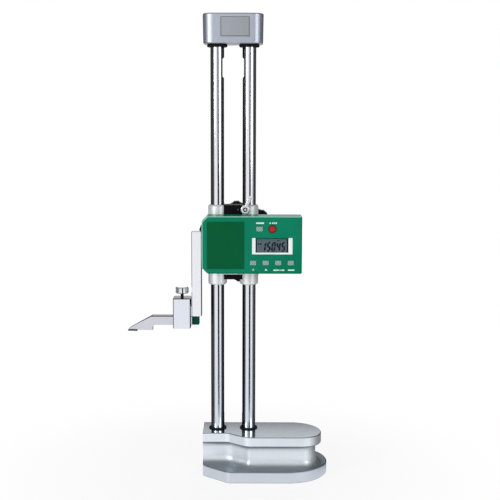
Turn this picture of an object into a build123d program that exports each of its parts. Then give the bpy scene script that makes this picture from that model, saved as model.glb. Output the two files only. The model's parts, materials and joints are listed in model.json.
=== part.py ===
from build123d import *
import os
from math import acos, ceil, cos, floor, pi, radians, sin, sqrt, tan

os.makedirs("parts", exist_ok=True)

# Double-column height gauge. X runs right, Y away from the reader, Z up. The origin is on the
# underside of the base, midway between the two columns. The slider stands at its reading.

# Measuring range
reading = 150.45
stop_clearance = 2.25
running_clearance = 0.06
seat_clearance = 0.02
piece_gap = 0.2
overrun = 2.0

# Base
base_height = 46.2
flange_thickness = 12.0
lip_thickness = 10.6
base_left = 31.4
end_half_width = 19.6
flange_half_width = 42.3
flange_round_x = 56.5
flange_flare_x = 4.8
flange_flare_radius = 9.0
grip_front = 35.0
grip_right = 91.8
grip_front_radius = 21.0
grip_back_radius = 31.0
step_start_x = 5.5
step_end_x = 14.5
step_radius = 11.0
groove_depth = 5.8
upper_cove = 4.6
lower_cove = 9.0
flange_edge_radius = 1.4
lip_edge_radius = 1.5
lip_top_radius = 0.9
underside_chamfer = 0.8
core_wall = 9.0
core_roof = 9.0
core_rib = 6.0
core_corner_radius = 5.0

# Columns and racks
column_diameter = 14.0
column_spacing = 32.4
column_exposed = 398.2
socket_floor = 16.2
cap_socket_depth = 20.0
column_chamfer = 0.8
slot_width = 4.0
rack_start_height = 16.0
relief_length = 21.0
relief_from_cap = 12.9
relief_depth = 1.6
relief_slope = 1.8
rack_recess = 0.8
rack_back = 1.4
gear_module = 0.8
addendum_share = 0.8
root_gap = 0.2
backlash = 0.12
pressure_angle = 20
drive_teeth = 15
encoder_teeth = 14
pinion_width = 3.0

# Rubber rings: outside diameter, height, edge radius
upper_buffer = (20.6, 3.0, 1.2)
lower_buffer = (18.4, 1.2, 0.5)

# Cap
cap_length = 59.8
cap_depth = 37.8
cap_height = 29.6
cap_corner_radius = 10.0
cap_draft = 1
cap_top_radius = 1.6
cap_bottom_radius = 0.8

# Screws: shank diameter, head diameter, head height, socket size
column_screw = (6.0, 10.0, 6.0, 5.0)
column_screw_length = 22.0
arm_screw = (4.0, 7.0, 4.0, 3.0)
arm_screw_length = 14.0
small_screw = (2.5, 4.6, 1.6, 1.5)
wheel_screw_size = (4.0, 8.0, 2.6, 2.5)
grub_diameter = 5.0
grub_length = 8.0
grub_socket = 2.5

# Slider; its length follows from the housing and the lock above it
sleeve_diameter = 19.2
sleeve_chamfer = 1.3
bush_wall = 1.1
bush_length = 14.0
bush_recess = 0.6
bore_relief = 0.5
web_front = 7.0
web_back = 8.0
web_bottom_rise = 10.8
web_top_drop = 12.4
bottom_bridge_rise = 5.6
pad_half_width = 14.0
pad_low_margin = 2.5
pad_high_margin = 5.9
boss_diameter = 18.0
boss_length = 9.0
gear_pocket_gap = 0.8
gear_pocket_width = 5.2
housing_screw_inset = 3.6

# Hand wheel and its shaft
shaft_diameter = 6.0
journal_diameter = 4.0
journal_length = 4.6
pinion_bush_wall = 1.5
pinion_bush_flange = 1.6
wheel_radius = 42.8
wheel_scallops = 16
scallop_depth = 2.3
scallop_radius = 10.0
scallop_phase = 8.8
wheel_rim_width = 11.0
wheel_rim_depth = 9.0
wheel_web = 4.2
wheel_hub_diameter = 24.0
wheel_edge_radius = 1.8
hub_drop = 1.5
wheel_screw_seat = 3.2
wheel_screw_length = 9.0
wheel_rim_offset = 3.6
wheel_gap = 0.3

# Encoder
encoder_shaft_diameter = 3.0
encoder_disc_diameter = 20.0
encoder_disc_thickness = 1.0
encoder_disc_hub = 7.0
encoder_disc_hub_length = 2.4
encoder_disc_standoff = 3.4
encoder_journal_length = 3.0
head_length = 9.0
head_height = 8.0
head_slot_depth = 3.0
head_overlap = 2.2
head_arm = 2.2
head_gap = 0.5
head_screw_gap = 1.35

# Lock
lock_x = 12.3
lock_drop = 4.1
lock_clearance = 0.4
lock_boss_diameter = 8.0
lock_boss_reach = 12.0
lever_eye_diameter = 9.2
lever_thickness = 3.2
lever_width = 4.3
lever_tip_width = 3.4
lever_length = 13.0
lever_angle = 22
lever_side_angle = 89
lever_edge_radius = 0.8
lever_gap = 0.3
lock_screw_diameter = 3.4
lock_head_diameter = 4.6
lock_head_height = 0.7
lock_socket = 2.0
lock_socket_depth = 1.8
pad_length = 2.6
pad_gap = 0.1
stop_pin_diameter = 2.2
stop_pin_offset = 7.35
stop_pin_depth = 5.0

# Display housing
housing_left = 31.2
housing_width = 100.6
housing_height = 57.9
housing_rise = 15.5
housing_gap = 4.0
housing_depth = 22.0
housing_wall = 2.0
housing_back_wall = 3.0
housing_chamfer = 5.8
housing_corner_radius = 1.2
cover_thickness = 2.4
cover_edge = 0.9
post_diameter = 5.6
post_inset = 5.2
post_left_inset = 7.8
lower_left_radius = 3.0
cover_boss_height = 3.6
panel_left = 5.2
panel_bottom = 4.7
panel_gap = 7.5
panel_top_margin = 5.4
panel_thickness = 0.9
panel_recess = 0.25
frame_right_margin = 9.4
frame_drop = 0.25
frame_width = 40.8
frame_height = 16.7
frame_thickness = 1.2
frame_recess = 0.4
frame_ledge = 1.8
window_left = 3.6
window_bottom = 1.8
window_width = 33.0
lens_thickness = 0.8
lens_recess = 0.2
lcd_margin = 0.9
lcd_thickness = 2.6
connector_height = 1.5
connector_length = 3.6
board_thickness = 1.2
board_width = 47.4
board_right_margin = 8.5
board_margin = 2.6
board_post = 5.0
board_post_inset = 3.0
board_screw_depth = 5.0

# Keys: lower row up from the housing's foot, upper row down from its top, both from its right end
key_row_rise = 11.1
key_row_end = 11.2
key_row_pitch = 12.6
upper_key_drop = 12.6
power_key_inset = 42.6
zero_key_inset = 29.8
key_width = 6.4
key_height = 4.7
power_key_width = 6.8
power_key_height = 4.9
zero_key_diameter = 8.0
key_proud = 0.8
key_travel = 0.5
key_flange = 0.9
key_flange_thickness = 0.8
key_radius = 0.8
key_stem = 3.0
key_edge = 0.4
switch_size = 4.8
switch_height = 2.4
plunger_diameter = 2.4
plunger_height = 0.6

# Battery
cell_diameter = 20.0
cell_thickness = 3.2
cell_inset = 22.6
cell_rise = 30.0
cell_gap = 0.3
holder_wall = 1.6
contact_width = 4.0
contact_length = 14.0
contact_thickness = 0.4
door_width = 24.0
door_thickness = 1.8
door_lip = 0.8
door_lip_thickness = 0.8
door_overlap = 2.6
door_grip_depth = 0.5
door_grip_width = 1.2
door_grip_length = 14.0
door_grip_pitch = 2.4
door_grips = 4

# Arm and scriber clamp
arm_gap = 1.2
arm_width = 10.4
arm_depth = 12.0
arm_rise = 54.5
arm_edge = 0.6
lug_depth = 11.0
lug_height = 28.0
lug_rise = 25.0
foot_height = 10.2
foot_depth = 9.4
foot_length = 18.8
clamp_length = 18.2
clamp_depth = 19.0
clamp_top_wall = 8.8
clamp_floor = 3.1
clamp_gap = 1.0
clamp_edge = 0.8
slot_gap = 0.15
thumb_diameter = 13.5
thumb_height = 6.5
thumb_neck = 3.2
thumb_neck_height = 4.4
thumb_thread = 4.8
thumb_flutes = 24
thumb_flute_depth = 0.35
thumb_edge = 0.7
thumb_pad_height = 1.0
thumb_pad_diameter = 4.6

# Scriber
shank_height = 9.4
shank_depth = 9.0
scriber_drop = 6.8
tip_reach = 47.7
nose_length = 25.9
nose_slope_length = 22.6
nose_slope_end_rise = 4.0
heel_length = 26.1
heel_run = 2.8
heel_rise = 2.2
heel_turn = 60
tip_width = 3.0
carbide_length = 10.1
carbide_height = 1.9
carbide_proud = 1.2
carbide_bevel = 0.7
shank_overhang = 1.2
tenon_length = 4.0
tenon_side = 5.0
shank_cap_length = 7.6
shank_cap_margin = 0.25
shank_cap_edge = 0.8

# A normal with less than this share upwards counts as level; sockets reach this share of a head
flat_share = 0.001
socket_share = 0.6
lug_screw_shares = (0.25, 0.75)

# Points of a gear's flank, as shares of the way from the base circle to the tip
flank_shares = (0, 0.35, 0.7, 1)

# Heights
column_socket_depth = base_height - socket_floor
cap_bottom = base_height + column_exposed
lip_bottom = base_height - lip_thickness
slider_bottom = base_height + lower_buffer[1] + stop_clearance + reading
housing_bottom = slider_bottom + housing_rise
housing_top = housing_bottom + housing_height
lock_z = housing_top + lock_clearance + lever_eye_diameter / 2
slider_top = lock_z + lock_drop
slider_length = slider_top - slider_bottom
drive_z = slider_bottom + slider_length / 2
relief_top = cap_bottom - relief_from_cap
relief_bottom = relief_top - relief_length
rack_bottom = base_height + rack_start_height

# Across and in depth
column_x = column_spacing / 2
column_radius = column_diameter / 2
rack_tip_x = column_x - column_radius + rack_recess
addendum = gear_module * addendum_share
tooth_depth = 2 * addendum + root_gap
pitch_line_x = rack_tip_x + addendum
rack_root_x = rack_tip_x + tooth_depth
rack_back_x = rack_root_x + rack_back
tooth_pitch = pi * gear_module
drive_pitch_radius = gear_module * drive_teeth / 2
encoder_pitch_radius = gear_module * encoder_teeth / 2
drive_x = pitch_line_x - drive_pitch_radius
encoder_x = encoder_pitch_radius - pitch_line_x
housing_back = -web_front - housing_gap
cover_back = housing_back - housing_depth + cover_thickness
housing_front = housing_back - housing_depth
housing_right = housing_width - housing_left
shell_floor = housing_back - housing_back_wall
encoder_disc_back = shell_floor - encoder_disc_standoff
encoder_disc_front = encoder_disc_back - encoder_disc_hub_length
pad_bottom = housing_bottom + pad_low_margin
pad_top = housing_top - pad_high_margin
encoder_z = pad_bottom + housing_screw_inset + small_screw[1] / 2 + head_screw_gap + head_height / 2
housing_screw_places = [
    (x, z)
    for x in (housing_screw_inset - pad_half_width, pad_half_width - housing_screw_inset)
    for z in (pad_bottom + housing_screw_inset, pad_top - housing_screw_inset)
]
lug_bottom = slider_bottom + lug_rise
arm_screw_heights = [lug_bottom + lug_height * share for share in lug_screw_shares]
arm_right = -base_left - arm_gap
arm_left = arm_right - arm_width
foot_bottom = reading + scriber_drop + shank_height + slot_gap / 2
foot_top = foot_bottom + foot_height
clamp_right = arm_left - clamp_gap
clamp_left = clamp_right - clamp_length
clamp_x = clamp_right - clamp_length / 2
clamp_slot_bottom = reading + scriber_drop - slot_gap / 2
clamp_slot_top = foot_top + slot_gap
clamp_top = clamp_slot_top + clamp_top_wall
frame_front = housing_front + frame_recess
frame_back = frame_front + frame_thickness
lcd_front = frame_back + piece_gap / 2
lcd_back = lcd_front + lcd_thickness
board_front = lcd_back + connector_length
board_back = board_front + board_thickness
board_bottom = housing_bottom + board_margin
board_height = housing_height - 2 * board_margin
switch_front = board_front - switch_height
plunger_front = switch_front - plunger_height
key_back = plunger_front - key_travel - piece_gap
upper_key_rise = housing_height - upper_key_drop
frame_left = housing_width - frame_right_margin - frame_width
frame_bottom = (key_row_rise + upper_key_rise - frame_height) / 2 - frame_drop
panel_width = frame_left - panel_gap - panel_left
panel_height = housing_height - panel_top_margin - panel_bottom
lens_height = frame_height - window_bottom
board_left = housing_width - board_right_margin - board_width
cell_x = housing_right - cell_inset
cell_z = housing_bottom + cell_rise
door_left = cell_x - cell_diameter / 2 - door_overlap
door_seat = housing_back - door_thickness - piece_gap / 2
cell_back = door_seat - piece_gap
cell_front = cell_back - cell_thickness
shank_bottom = reading + scriber_drop
shank_top = shank_bottom + shank_height
shank_end = clamp_right + shank_overhang
tip_x = clamp_left - tip_reach
web_low = slider_bottom + web_bottom_rise
web_high = slider_top - web_top_drop
sleeve_radius = sleeve_diameter / 2
bush_bore = column_radius + running_clearance
bush_radius = bush_bore + bush_wall
drive_tip_radius = drive_pitch_radius + addendum
encoder_tip_radius = encoder_pitch_radius + addendum
gear_pocket_half = gear_pocket_width / 2
shaft_radius = shaft_diameter / 2
pinion_bush_radius = shaft_radius + running_clearance + pinion_bush_wall
hub_front = web_back + boss_length + pinion_bush_flange + wheel_gap
rim_front = hub_front + wheel_rim_offset
rim_back = rim_front + wheel_rim_width
hub_back = rim_back - hub_drop
lever_back = -lock_boss_reach - lever_gap
lever_front = lever_back - lever_thickness


def keep(piece, name):
    """Label a finished piece and write it under its node's name."""
    piece.part.label = name
    export_step(piece.part, f"parts/{name}.step")


def facing(y):
    """Plane at depth y, drawn as the reader sees it; it extrudes towards the reader."""
    return Plane.XZ.offset(-y)


def turning(x, z):
    """Half-section plane of a piece turned about a line along Y: first radius, then depth."""
    return Plane(origin=(x, 0, z), x_dir=(1, 0, 0), z_dir=(0, 0, 1))


def spin(x, z):
    """The line along Y that such a piece turns about."""
    return Axis((x, 0, z), (0, 1, 0))


# Base casting
def grip_plan(inset):
    """Plan of the lip, or of the waist set in from it; the left end stays on the base's face."""
    left = -base_left - inset
    with BuildSketch() as plan:
        with BuildLine():
            FilletPolyline(
                (left, -end_half_width),
                (-step_start_x, -end_half_width),
                (step_end_x, -grip_front),
                (grip_right, -grip_front),
                (grip_right, end_half_width),
                (left, end_half_width),
                radius=[step_radius, step_radius, grip_front_radius, grip_back_radius],
            )
            Line((left, end_half_width), (left, -end_half_width))
        make_face()
        if inset:
            offset(amount=-inset)
    return plan.sketch


def right_of_face(edge):
    """Edges that aren't on the base's flat left face."""
    return edge.center().X > -base_left + piece_gap


def on_waist(edge):
    """Edges of the waist, which never reach the blank's far edges."""
    return right_of_face(edge) and edge.bounding_box().max.X < grip_right


def is_upright(face):
    """Side faces, apart from the base's flat left face."""
    return abs(face.normal_at().Z) < flat_share and face.center().X > -base_left + piece_gap


def on_flange_rim(edge):
    """Upper edges of the flange's sides."""
    return right_of_face(edge) and edge.bounding_box().min.Z > flange_thickness / 2


def on_lip_rim(edge):
    """Lower edges of the lip's sides."""
    return right_of_face(edge) and edge.bounding_box().max.Z < base_height - lip_thickness / 2


def on_wheel_rim(edge):
    """Edges round the two faces of the hand wheel's rim, outside its dish."""
    middle = edge.center()
    level = min(abs(middle.Y - rim_front), abs(middle.Y - rim_back)) < piece_gap
    reach = sqrt((middle.X - drive_x) ** 2 + (middle.Z - drive_z) ** 2)
    return level and edge.length < wheel_radius and reach > wheel_radius - wheel_rim_depth / 2


def flange_plan():
    """Plan of the foot flange: flared from the columns' end, round at the grip's end."""
    with BuildSketch() as plan:
        with BuildLine():
            front = FilletPolyline(
                (-base_left, -end_half_width),
                (-flange_flare_x, -flange_half_width),
                (flange_round_x, -flange_half_width),
                radius=flange_flare_radius,
            )
            mirror(front, about=Plane.XZ)
            CenterArc((flange_round_x, 0), flange_half_width, -90, 180)
            Line((-base_left, end_half_width), (-base_left, -end_half_width))
        make_face()
    return plan.sketch


blank_right = flange_round_x + flange_half_width + overrun
blank_length = blank_right + base_left
blank_width = 2 * (flange_half_width + overrun)
waist_middle = (flange_thickness + lip_bottom) / 2
at_right = (Align.MAX, Align.CENTER)
at_left = (Align.MIN, Align.CENTER)
core_left = column_x + column_radius + core_wall
core_length = grip_right - groove_depth - core_wall - core_left
core_width = grip_front + end_half_width - 2 * (groove_depth + core_wall)
core_middle_y = (end_half_width - grip_front) / 2

on_floor = (Align.CENTER, Align.CENTER, Align.MIN)

with BuildPart() as base_envelope:
    with BuildSketch():
        add(flange_plan())
    extrude(amount=waist_middle)
    with BuildSketch(Plane.XY.offset(waist_middle)):
        add(grip_plan(0))
    extrude(amount=base_height - waist_middle)

with BuildPart() as base_casting:
    with BuildSketch():
        with Locations((blank_right, 0)):
            Rectangle(blank_length, blank_width, align=at_right)
    extrude(amount=flange_thickness)
    with BuildSketch(Plane.XY.offset(lip_bottom)):
        with Locations((blank_right, 0)):
            Rectangle(blank_length, blank_width, align=at_right)
    extrude(amount=lip_thickness)
    with BuildSketch(Plane.XY.offset(flange_thickness)):
        add(grip_plan(groove_depth))
    extrude(amount=lip_bottom - flange_thickness)
    waist_lines = edges().filter_by(on_waist)
    fillet(waist_lines.filter_by_position(Axis.Z, flange_thickness, flange_thickness), radius=lower_cove)
    waist_lines = edges().filter_by(on_waist)
    fillet(waist_lines.filter_by_position(Axis.Z, lip_bottom, lip_bottom), radius=upper_cove)
    add(base_envelope.part, mode=Mode.INTERSECT)
    # the flange's upper rim, then both rims of the lip, and the foot
    flange_sides = faces().filter_by(is_upright).filter_by(lambda face: face.center().Z < flange_thickness)
    fillet(flange_sides.edges().filter_by(on_flange_rim), radius=flange_edge_radius)
    lip_sides = faces().filter_by(is_upright).filter_by(lambda face: face.center().Z > lip_bottom)
    fillet(lip_sides.edges().filter_by(on_lip_rim), radius=lip_edge_radius)
    fillet(edges().group_by(Axis.Z)[-1].filter_by(right_of_face), radius=lip_top_radius)
    chamfer(edges().group_by(Axis.Z)[0], length=underside_chamfer)
    # core hole under the grip, crossed by a rib
    with BuildSketch():
        with Locations((core_left, core_middle_y)):
            Rectangle(core_length, core_width, align=at_left)
        fillet(vertices(), radius=core_corner_radius)
        with Locations((core_left + core_length / 2, core_middle_y)):
            Rectangle(core_rib, core_width, mode=Mode.SUBTRACT)
    extrude(amount=base_height - core_roof, mode=Mode.SUBTRACT)
    # column sockets from above, screws from below
    with Locations(Plane.XY.offset(base_height)):
        with GridLocations(column_spacing, 0, 2, 1):
            Hole(column_radius + seat_clearance, depth=column_socket_depth)
    with Locations(Plane.XY.rotated((180, 0, 0))):
        with GridLocations(column_spacing, 0, 2, 1):
            CounterBoreHole(
                column_screw[0] / 2 + piece_gap,
                column_screw[1] / 2 + piece_gap,
                column_screw[2] + underside_chamfer,
            )


keep(base_casting, "base_casting")


# Columns with their racks
def column(side):
    """Round column with a slot for its rack and a relief near the top, both on its inner side."""
    inner = side * (column_x - column_radius)
    slot_back = side * (rack_back_x + seat_clearance)
    with BuildPart() as bar:
        with Locations((side * column_x, 0, base_height - column_socket_depth)):
            Cylinder(column_radius, column_length, align=on_floor)
        chamfer(edges().filter_by(GeomType.CIRCLE), length=column_chamfer)
        with BuildSketch(facing(slot_width / 2)):
            with BuildLine():
                Polyline(
                    (0, rack_bottom - seat_clearance),
                    (slot_back, rack_bottom - seat_clearance),
                    (slot_back, relief_bottom + relief_slope),
                    (0, relief_bottom + relief_slope),
                    close=True,
                )
            make_face()
        extrude(amount=slot_width, mode=Mode.SUBTRACT)
        with BuildSketch(facing(column_radius)):
            with BuildLine():
                Polyline(
                    (inner, relief_bottom),
                    (inner + side * relief_depth, relief_bottom + relief_slope),
                    (inner + side * relief_depth, relief_top - relief_slope),
                    (inner, relief_top),
                    close=True,
                )
            make_face()
        extrude(amount=column_diameter, mode=Mode.SUBTRACT)
        with Locations(Plane.XY.offset(base_height - column_socket_depth).rotated((180, 0, 0))):
            with Locations((side * column_x, 0)):
                Hole(column_screw[0] / 2 + seat_clearance, depth=column_screw_length)
    return bar


def rack(side, gear_z):
    """Toothed bar; a gap between teeth faces the gear's axis at gear_z."""
    half_gap = tooth_pitch / 4 + backlash / 4
    slope = tan(radians(pressure_angle))
    mouth = half_gap + addendum * slope
    root = half_gap - (addendum + root_gap) * slope
    first = ceil((rack_bottom + tooth_pitch - gear_z) / tooth_pitch)
    last = floor((relief_bottom - tooth_pitch - gear_z) / tooth_pitch)
    teeth = []
    for count in range(first, last + 1):
        z = gear_z + count * tooth_pitch
        teeth += [
            (side * rack_tip_x, z - mouth),
            (side * rack_root_x, z - root),
            (side * rack_root_x, z + root),
            (side * rack_tip_x, z + mouth),
        ]
    outline = [(side * rack_back_x, rack_bottom), (side * rack_tip_x, rack_bottom)] + teeth
    outline += [(side * rack_tip_x, relief_bottom), (side * rack_back_x, relief_bottom)]
    with BuildPart() as bar:
        with BuildSketch(facing(slot_width / 2 - seat_clearance)):
            with BuildLine():
                Polyline(*outline, close=True)
            make_face()
        extrude(amount=slot_width - 2 * seat_clearance)
    return bar


column_length = column_socket_depth + column_exposed + cap_socket_depth
for side, name, gear_z in ((-1, "left", encoder_z), (1, "right", drive_z)):
    keep(column(side), f"{name}_column")
    keep(rack(side, gear_z), f"{name}_rack")


# Rubber rings at both ends of the columns
def buffers(size, z):
    """A rounded ring round each column, standing from z."""
    diameter, height, edge_radius = size
    with BuildPart() as rings:
        with Locations((-column_x, 0, z), (column_x, 0, z)):
            Cylinder(diameter / 2, height, align=on_floor)
        fillet(edges().filter_by(GeomType.CIRCLE), radius=edge_radius)
        with Locations((-column_x, 0, z), (column_x, 0, z)):
            Cylinder(column_radius + seat_clearance, height, align=on_floor, mode=Mode.SUBTRACT)
    return rings


keep(buffers(lower_buffer, base_height), "lower_buffers")
keep(buffers(upper_buffer, cap_bottom - upper_buffer[1]), "upper_buffers")

# Cap, a little wider at its top, with a socket for each column
with BuildPart() as top_cap:
    with BuildSketch(Plane.XY.offset(cap_bottom)):
        RectangleRounded(cap_length, cap_depth, cap_corner_radius)
    extrude(amount=cap_height, taper=-cap_draft)
    fillet(edges().group_by(Axis.Z)[-1], radius=cap_top_radius)
    fillet(edges().group_by(Axis.Z)[0], radius=cap_bottom_radius)
    with Locations(Plane.XY.offset(cap_bottom).rotated((180, 0, 0))):
        with GridLocations(column_spacing, 0, 2, 1):
            Hole(column_radius + seat_clearance, depth=cap_socket_depth + seat_clearance)
    with Locations(Plane.XZ.offset(-cap_depth / 2 - overrun)):
        with Locations(*[(x, cap_bottom + cap_socket_depth / 2) for x in (-column_x, column_x)]):
            Hole(grub_diameter / 2 + seat_clearance, depth=cap_depth / 2 + overrun - column_radius / 2)
keep(top_cap, "top_cap")


# Screws
def socket_screws(places, size, length):
    """Socket-head screws; each place is the plane under its head, which faces along its normal."""
    shank, head, head_height, socket = size
    with BuildPart() as screws:
        with BuildSketch(*places):
            Circle(head / 2)
        extrude(amount=head_height)
        with BuildSketch(*[place.offset(head_height) for place in places]):
            RegularPolygon(socket / 2, 6, major_radius=False)
        extrude(amount=-head_height * socket_share, mode=Mode.SUBTRACT)
        with BuildSketch(*places):
            Circle(shank / 2)
        extrude(amount=-length)
    return screws


under_base = column_screw[2] + underside_chamfer
keep(
    socket_screws(
        [Plane(origin=(x, 0, under_base), z_dir=(0, 0, -1)) for x in (-column_x, column_x)],
        column_screw,
        column_screw_length,
    ),
    "column_screws",
)
with BuildPart() as cap_set_screws:
    grub_places = [
        Plane(origin=(x, column_radius + seat_clearance, cap_bottom + cap_socket_depth / 2), z_dir=(0, 1, 0))
        for x in (-column_x, column_x)
    ]
    with BuildSketch(*grub_places):
        Circle(grub_diameter / 2)
        RegularPolygon(grub_socket / 2, 6, major_radius=False, mode=Mode.SUBTRACT)
    extrude(amount=grub_length)
keep(cap_set_screws, "cap_set_screws")


# Slider body: two sleeves joined by a web that holds both gears
with BuildPart() as slider_body:
    with Locations((-column_x, 0, slider_bottom), (column_x, 0, slider_bottom)):
        Cylinder(sleeve_radius, slider_length, align=on_floor)
    chamfer(edges().filter_by(GeomType.CIRCLE), length=sleeve_chamfer)
    with BuildSketch(facing(web_back)):
        with Locations((0, web_low)):
            Rectangle(column_spacing, web_high - web_low, align=(Align.CENTER, Align.MIN))
    extrude(amount=web_back + web_front)
    with BuildSketch(facing(-web_front)):
        with Locations((0, pad_bottom)):
            Rectangle(2 * pad_half_width, pad_top - pad_bottom, align=(Align.CENTER, Align.MIN))
    extrude(amount=housing_gap)
    with BuildSketch(facing(web_back)):
        with Locations((drive_x, drive_z)):
            Circle(boss_diameter / 2)
    extrude(amount=-boss_length)
    with BuildSketch(Plane.YZ.offset(arm_right)):
        with Locations((0, slider_bottom + lug_rise)):
            Rectangle(lug_depth, lug_height, align=(Align.CENTER, Align.MIN))
    extrude(amount=-column_x - arm_right)
    with BuildSketch(facing(-column_radius)):
        with Locations((lock_x, lock_z)):
            Circle(lock_boss_diameter / 2)
    extrude(amount=lock_boss_reach - column_radius)
    # bores for the columns, wider at both ends for the bushes
    for x in (-column_x, column_x):
        with Locations((x, 0, slider_bottom)):
            Cylinder(column_radius + bore_relief, slider_length, align=on_floor, mode=Mode.SUBTRACT)
        with Locations((x, 0, slider_bottom), (x, 0, slider_top - bush_length - bush_recess)):
            Cylinder(
                bush_radius + seat_clearance,
                bush_length + bush_recess,
                align=on_floor,
                mode=Mode.SUBTRACT,
            )
    # gear pockets, which break into the bores so that the teeth reach the racks
    with BuildSketch(facing(gear_pocket_half)):
        with Locations((drive_x, drive_z)):
            Circle(drive_tip_radius + gear_pocket_gap)
        with Locations((encoder_x, encoder_z)):
            Circle(encoder_tip_radius + gear_pocket_gap)
    extrude(amount=gear_pocket_width, mode=Mode.SUBTRACT)
    # hand wheel's shaft: bush behind the gear, plain journal in front
    with BuildSketch(facing(web_back + boss_length)):
        with Locations((drive_x, drive_z)):
            Circle(pinion_bush_radius + seat_clearance)
    extrude(amount=web_back + boss_length, mode=Mode.SUBTRACT)
    with BuildSketch(facing(0)):
        with Locations((drive_x, drive_z)):
            Circle(journal_diameter / 2 + running_clearance)
    extrude(amount=gear_pocket_half + journal_length + piece_gap, mode=Mode.SUBTRACT)
    # encoder's shaft, which comes out at the front through the pad
    with BuildSketch(facing(gear_pocket_half + encoder_journal_length + piece_gap)):
        with Locations((encoder_x, encoder_z)):
            Circle(encoder_shaft_diameter / 2 + running_clearance)
    extrude(amount=web_front + housing_gap + web_back + overrun, mode=Mode.SUBTRACT)
    # lock screw
    with BuildSketch(facing(0)):
        with Locations((lock_x, lock_z)):
            Circle(lock_screw_diameter / 2 + running_clearance)
    extrude(amount=lock_boss_reach, mode=Mode.SUBTRACT)
    # tapped holes for the housing and for the arm
    with BuildSketch(facing(-web_front - housing_gap)):
        with Locations(*housing_screw_places):
            Circle(small_screw[0] / 2 + seat_clearance)
    extrude(amount=-housing_gap - web_front / 2, mode=Mode.SUBTRACT)
    with BuildSketch(Plane.YZ.offset(arm_right)):
        with Locations(*[(0, z) for z in arm_screw_heights]):
            Circle(arm_screw[0] / 2 + seat_clearance)
    extrude(amount=arm_screw_length - arm_width + arm_screw[2] + piece_gap, mode=Mode.SUBTRACT)
keep(slider_body, "slider_body")

# Bronze bushes at the four ends of the sleeves
with BuildPart() as slider_bushes:
    bush_heights = (slider_bottom + bush_recess, slider_top - bush_recess - bush_length)
    with Locations(*[(x, 0, z) for x in (-column_x, column_x) for z in bush_heights]):
        Cylinder(bush_radius, bush_length, align=on_floor)
        Cylinder(bush_bore, bush_length, align=on_floor, mode=Mode.SUBTRACT)
    with BuildSketch(facing(0)):
        with Locations((lock_x, lock_z)):
            Circle(lock_screw_diameter / 2 + running_clearance)
    extrude(amount=lock_boss_reach, mode=Mode.SUBTRACT)
keep(slider_bushes, "slider_bushes")


# Black bridges that close the web between the sleeves
def bridge(low, high):
    """Block that saddles both sleeves between two heights, bored for the stop pin if it is that high."""
    with BuildPart() as block:
        with BuildSketch(Plane.XY.offset(low)):
            with Locations((0, (web_back - web_front) / 2)):
                Rectangle(column_spacing, web_back + web_front)
            with GridLocations(column_spacing, 0, 2, 1):
                Circle(sleeve_radius + seat_clearance, mode=Mode.SUBTRACT)
        extrude(amount=high - low)
        with BuildSketch(facing(-web_front)):
            with Locations((lock_x - stop_pin_offset, lock_z)):
                Circle(stop_pin_diameter / 2 + seat_clearance)
        extrude(amount=-stop_pin_depth, mode=Mode.SUBTRACT)
    return block


keep(bridge(slider_bottom + bottom_bridge_rise, web_low), "bottom_bridge")
keep(bridge(web_high, slider_top), "top_bridge")
with BuildPart() as stop_pin:
    with BuildSketch(facing(stop_pin_depth - web_front)):
        with Locations((lock_x - stop_pin_offset, lock_z)):
            Circle(stop_pin_diameter / 2)
    extrude(amount=stop_pin_depth - web_front - lever_front)
    chamfer(edges().group_by(Axis.Y)[0], length=lever_gap)
keep(stop_pin, "stop_pin")

# Lock: lever fixed on its screw, which presses a pad on the right column
with BuildPart() as lock_lever:
    with BuildSketch(facing(lever_back)):
        with Locations((lock_x, lock_z)):
            Circle(lever_eye_diameter / 2)
        with Locations(Location((lock_x, lock_z), -lever_angle)):
            with Locations((0, lever_length)):
                Circle(lever_tip_width / 2)
            Trapezoid(lever_width, lever_length, lever_side_angle, align=(Align.CENTER, Align.MIN))
    extrude(amount=lever_thickness)
    fillet(edges().group_by(Axis.Y)[0], radius=lever_edge_radius)
    with BuildSketch(facing(lever_back)):
        with Locations((lock_x, lock_z)):
            Circle(lock_screw_diameter / 2 + seat_clearance)
    extrude(amount=lever_thickness, mode=Mode.SUBTRACT)
keep(lock_lever, "lock_lever")
pad_back = -sqrt(column_radius**2 - (column_x - lock_x) ** 2)
with BuildPart() as lock_screw:
    with BuildSketch(facing(lever_front)):
        with Locations((lock_x, lock_z)):
            Circle(lock_head_diameter / 2)
    extrude(amount=lock_head_height)
    chamfer(edges().group_by(Axis.Y)[0], length=lever_gap)
    with BuildSketch(facing(pad_back - pad_length - piece_gap)):
        with Locations((lock_x, lock_z)):
            Circle(lock_screw_diameter / 2)
    extrude(amount=pad_back - pad_length - piece_gap - lever_front)
    with BuildSketch(facing(lever_front - lock_head_height)):
        with Locations((lock_x, lock_z)):
            RegularPolygon(lock_socket / 2, 6, major_radius=False)
    extrude(amount=-lock_socket_depth, mode=Mode.SUBTRACT)
keep(lock_screw, "lock_screw")
with BuildPart() as brake_pad:
    with BuildSketch(facing(0)):
        with Locations((lock_x, lock_z)):
            Circle(lock_screw_diameter / 2)
    extrude(amount=pad_length - pad_back)
    with Locations((column_x, 0, slider_bottom)):
        Cylinder(column_radius + pad_gap, slider_length, align=on_floor, mode=Mode.SUBTRACT)
keep(brake_pad, "brake_pad")


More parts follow.
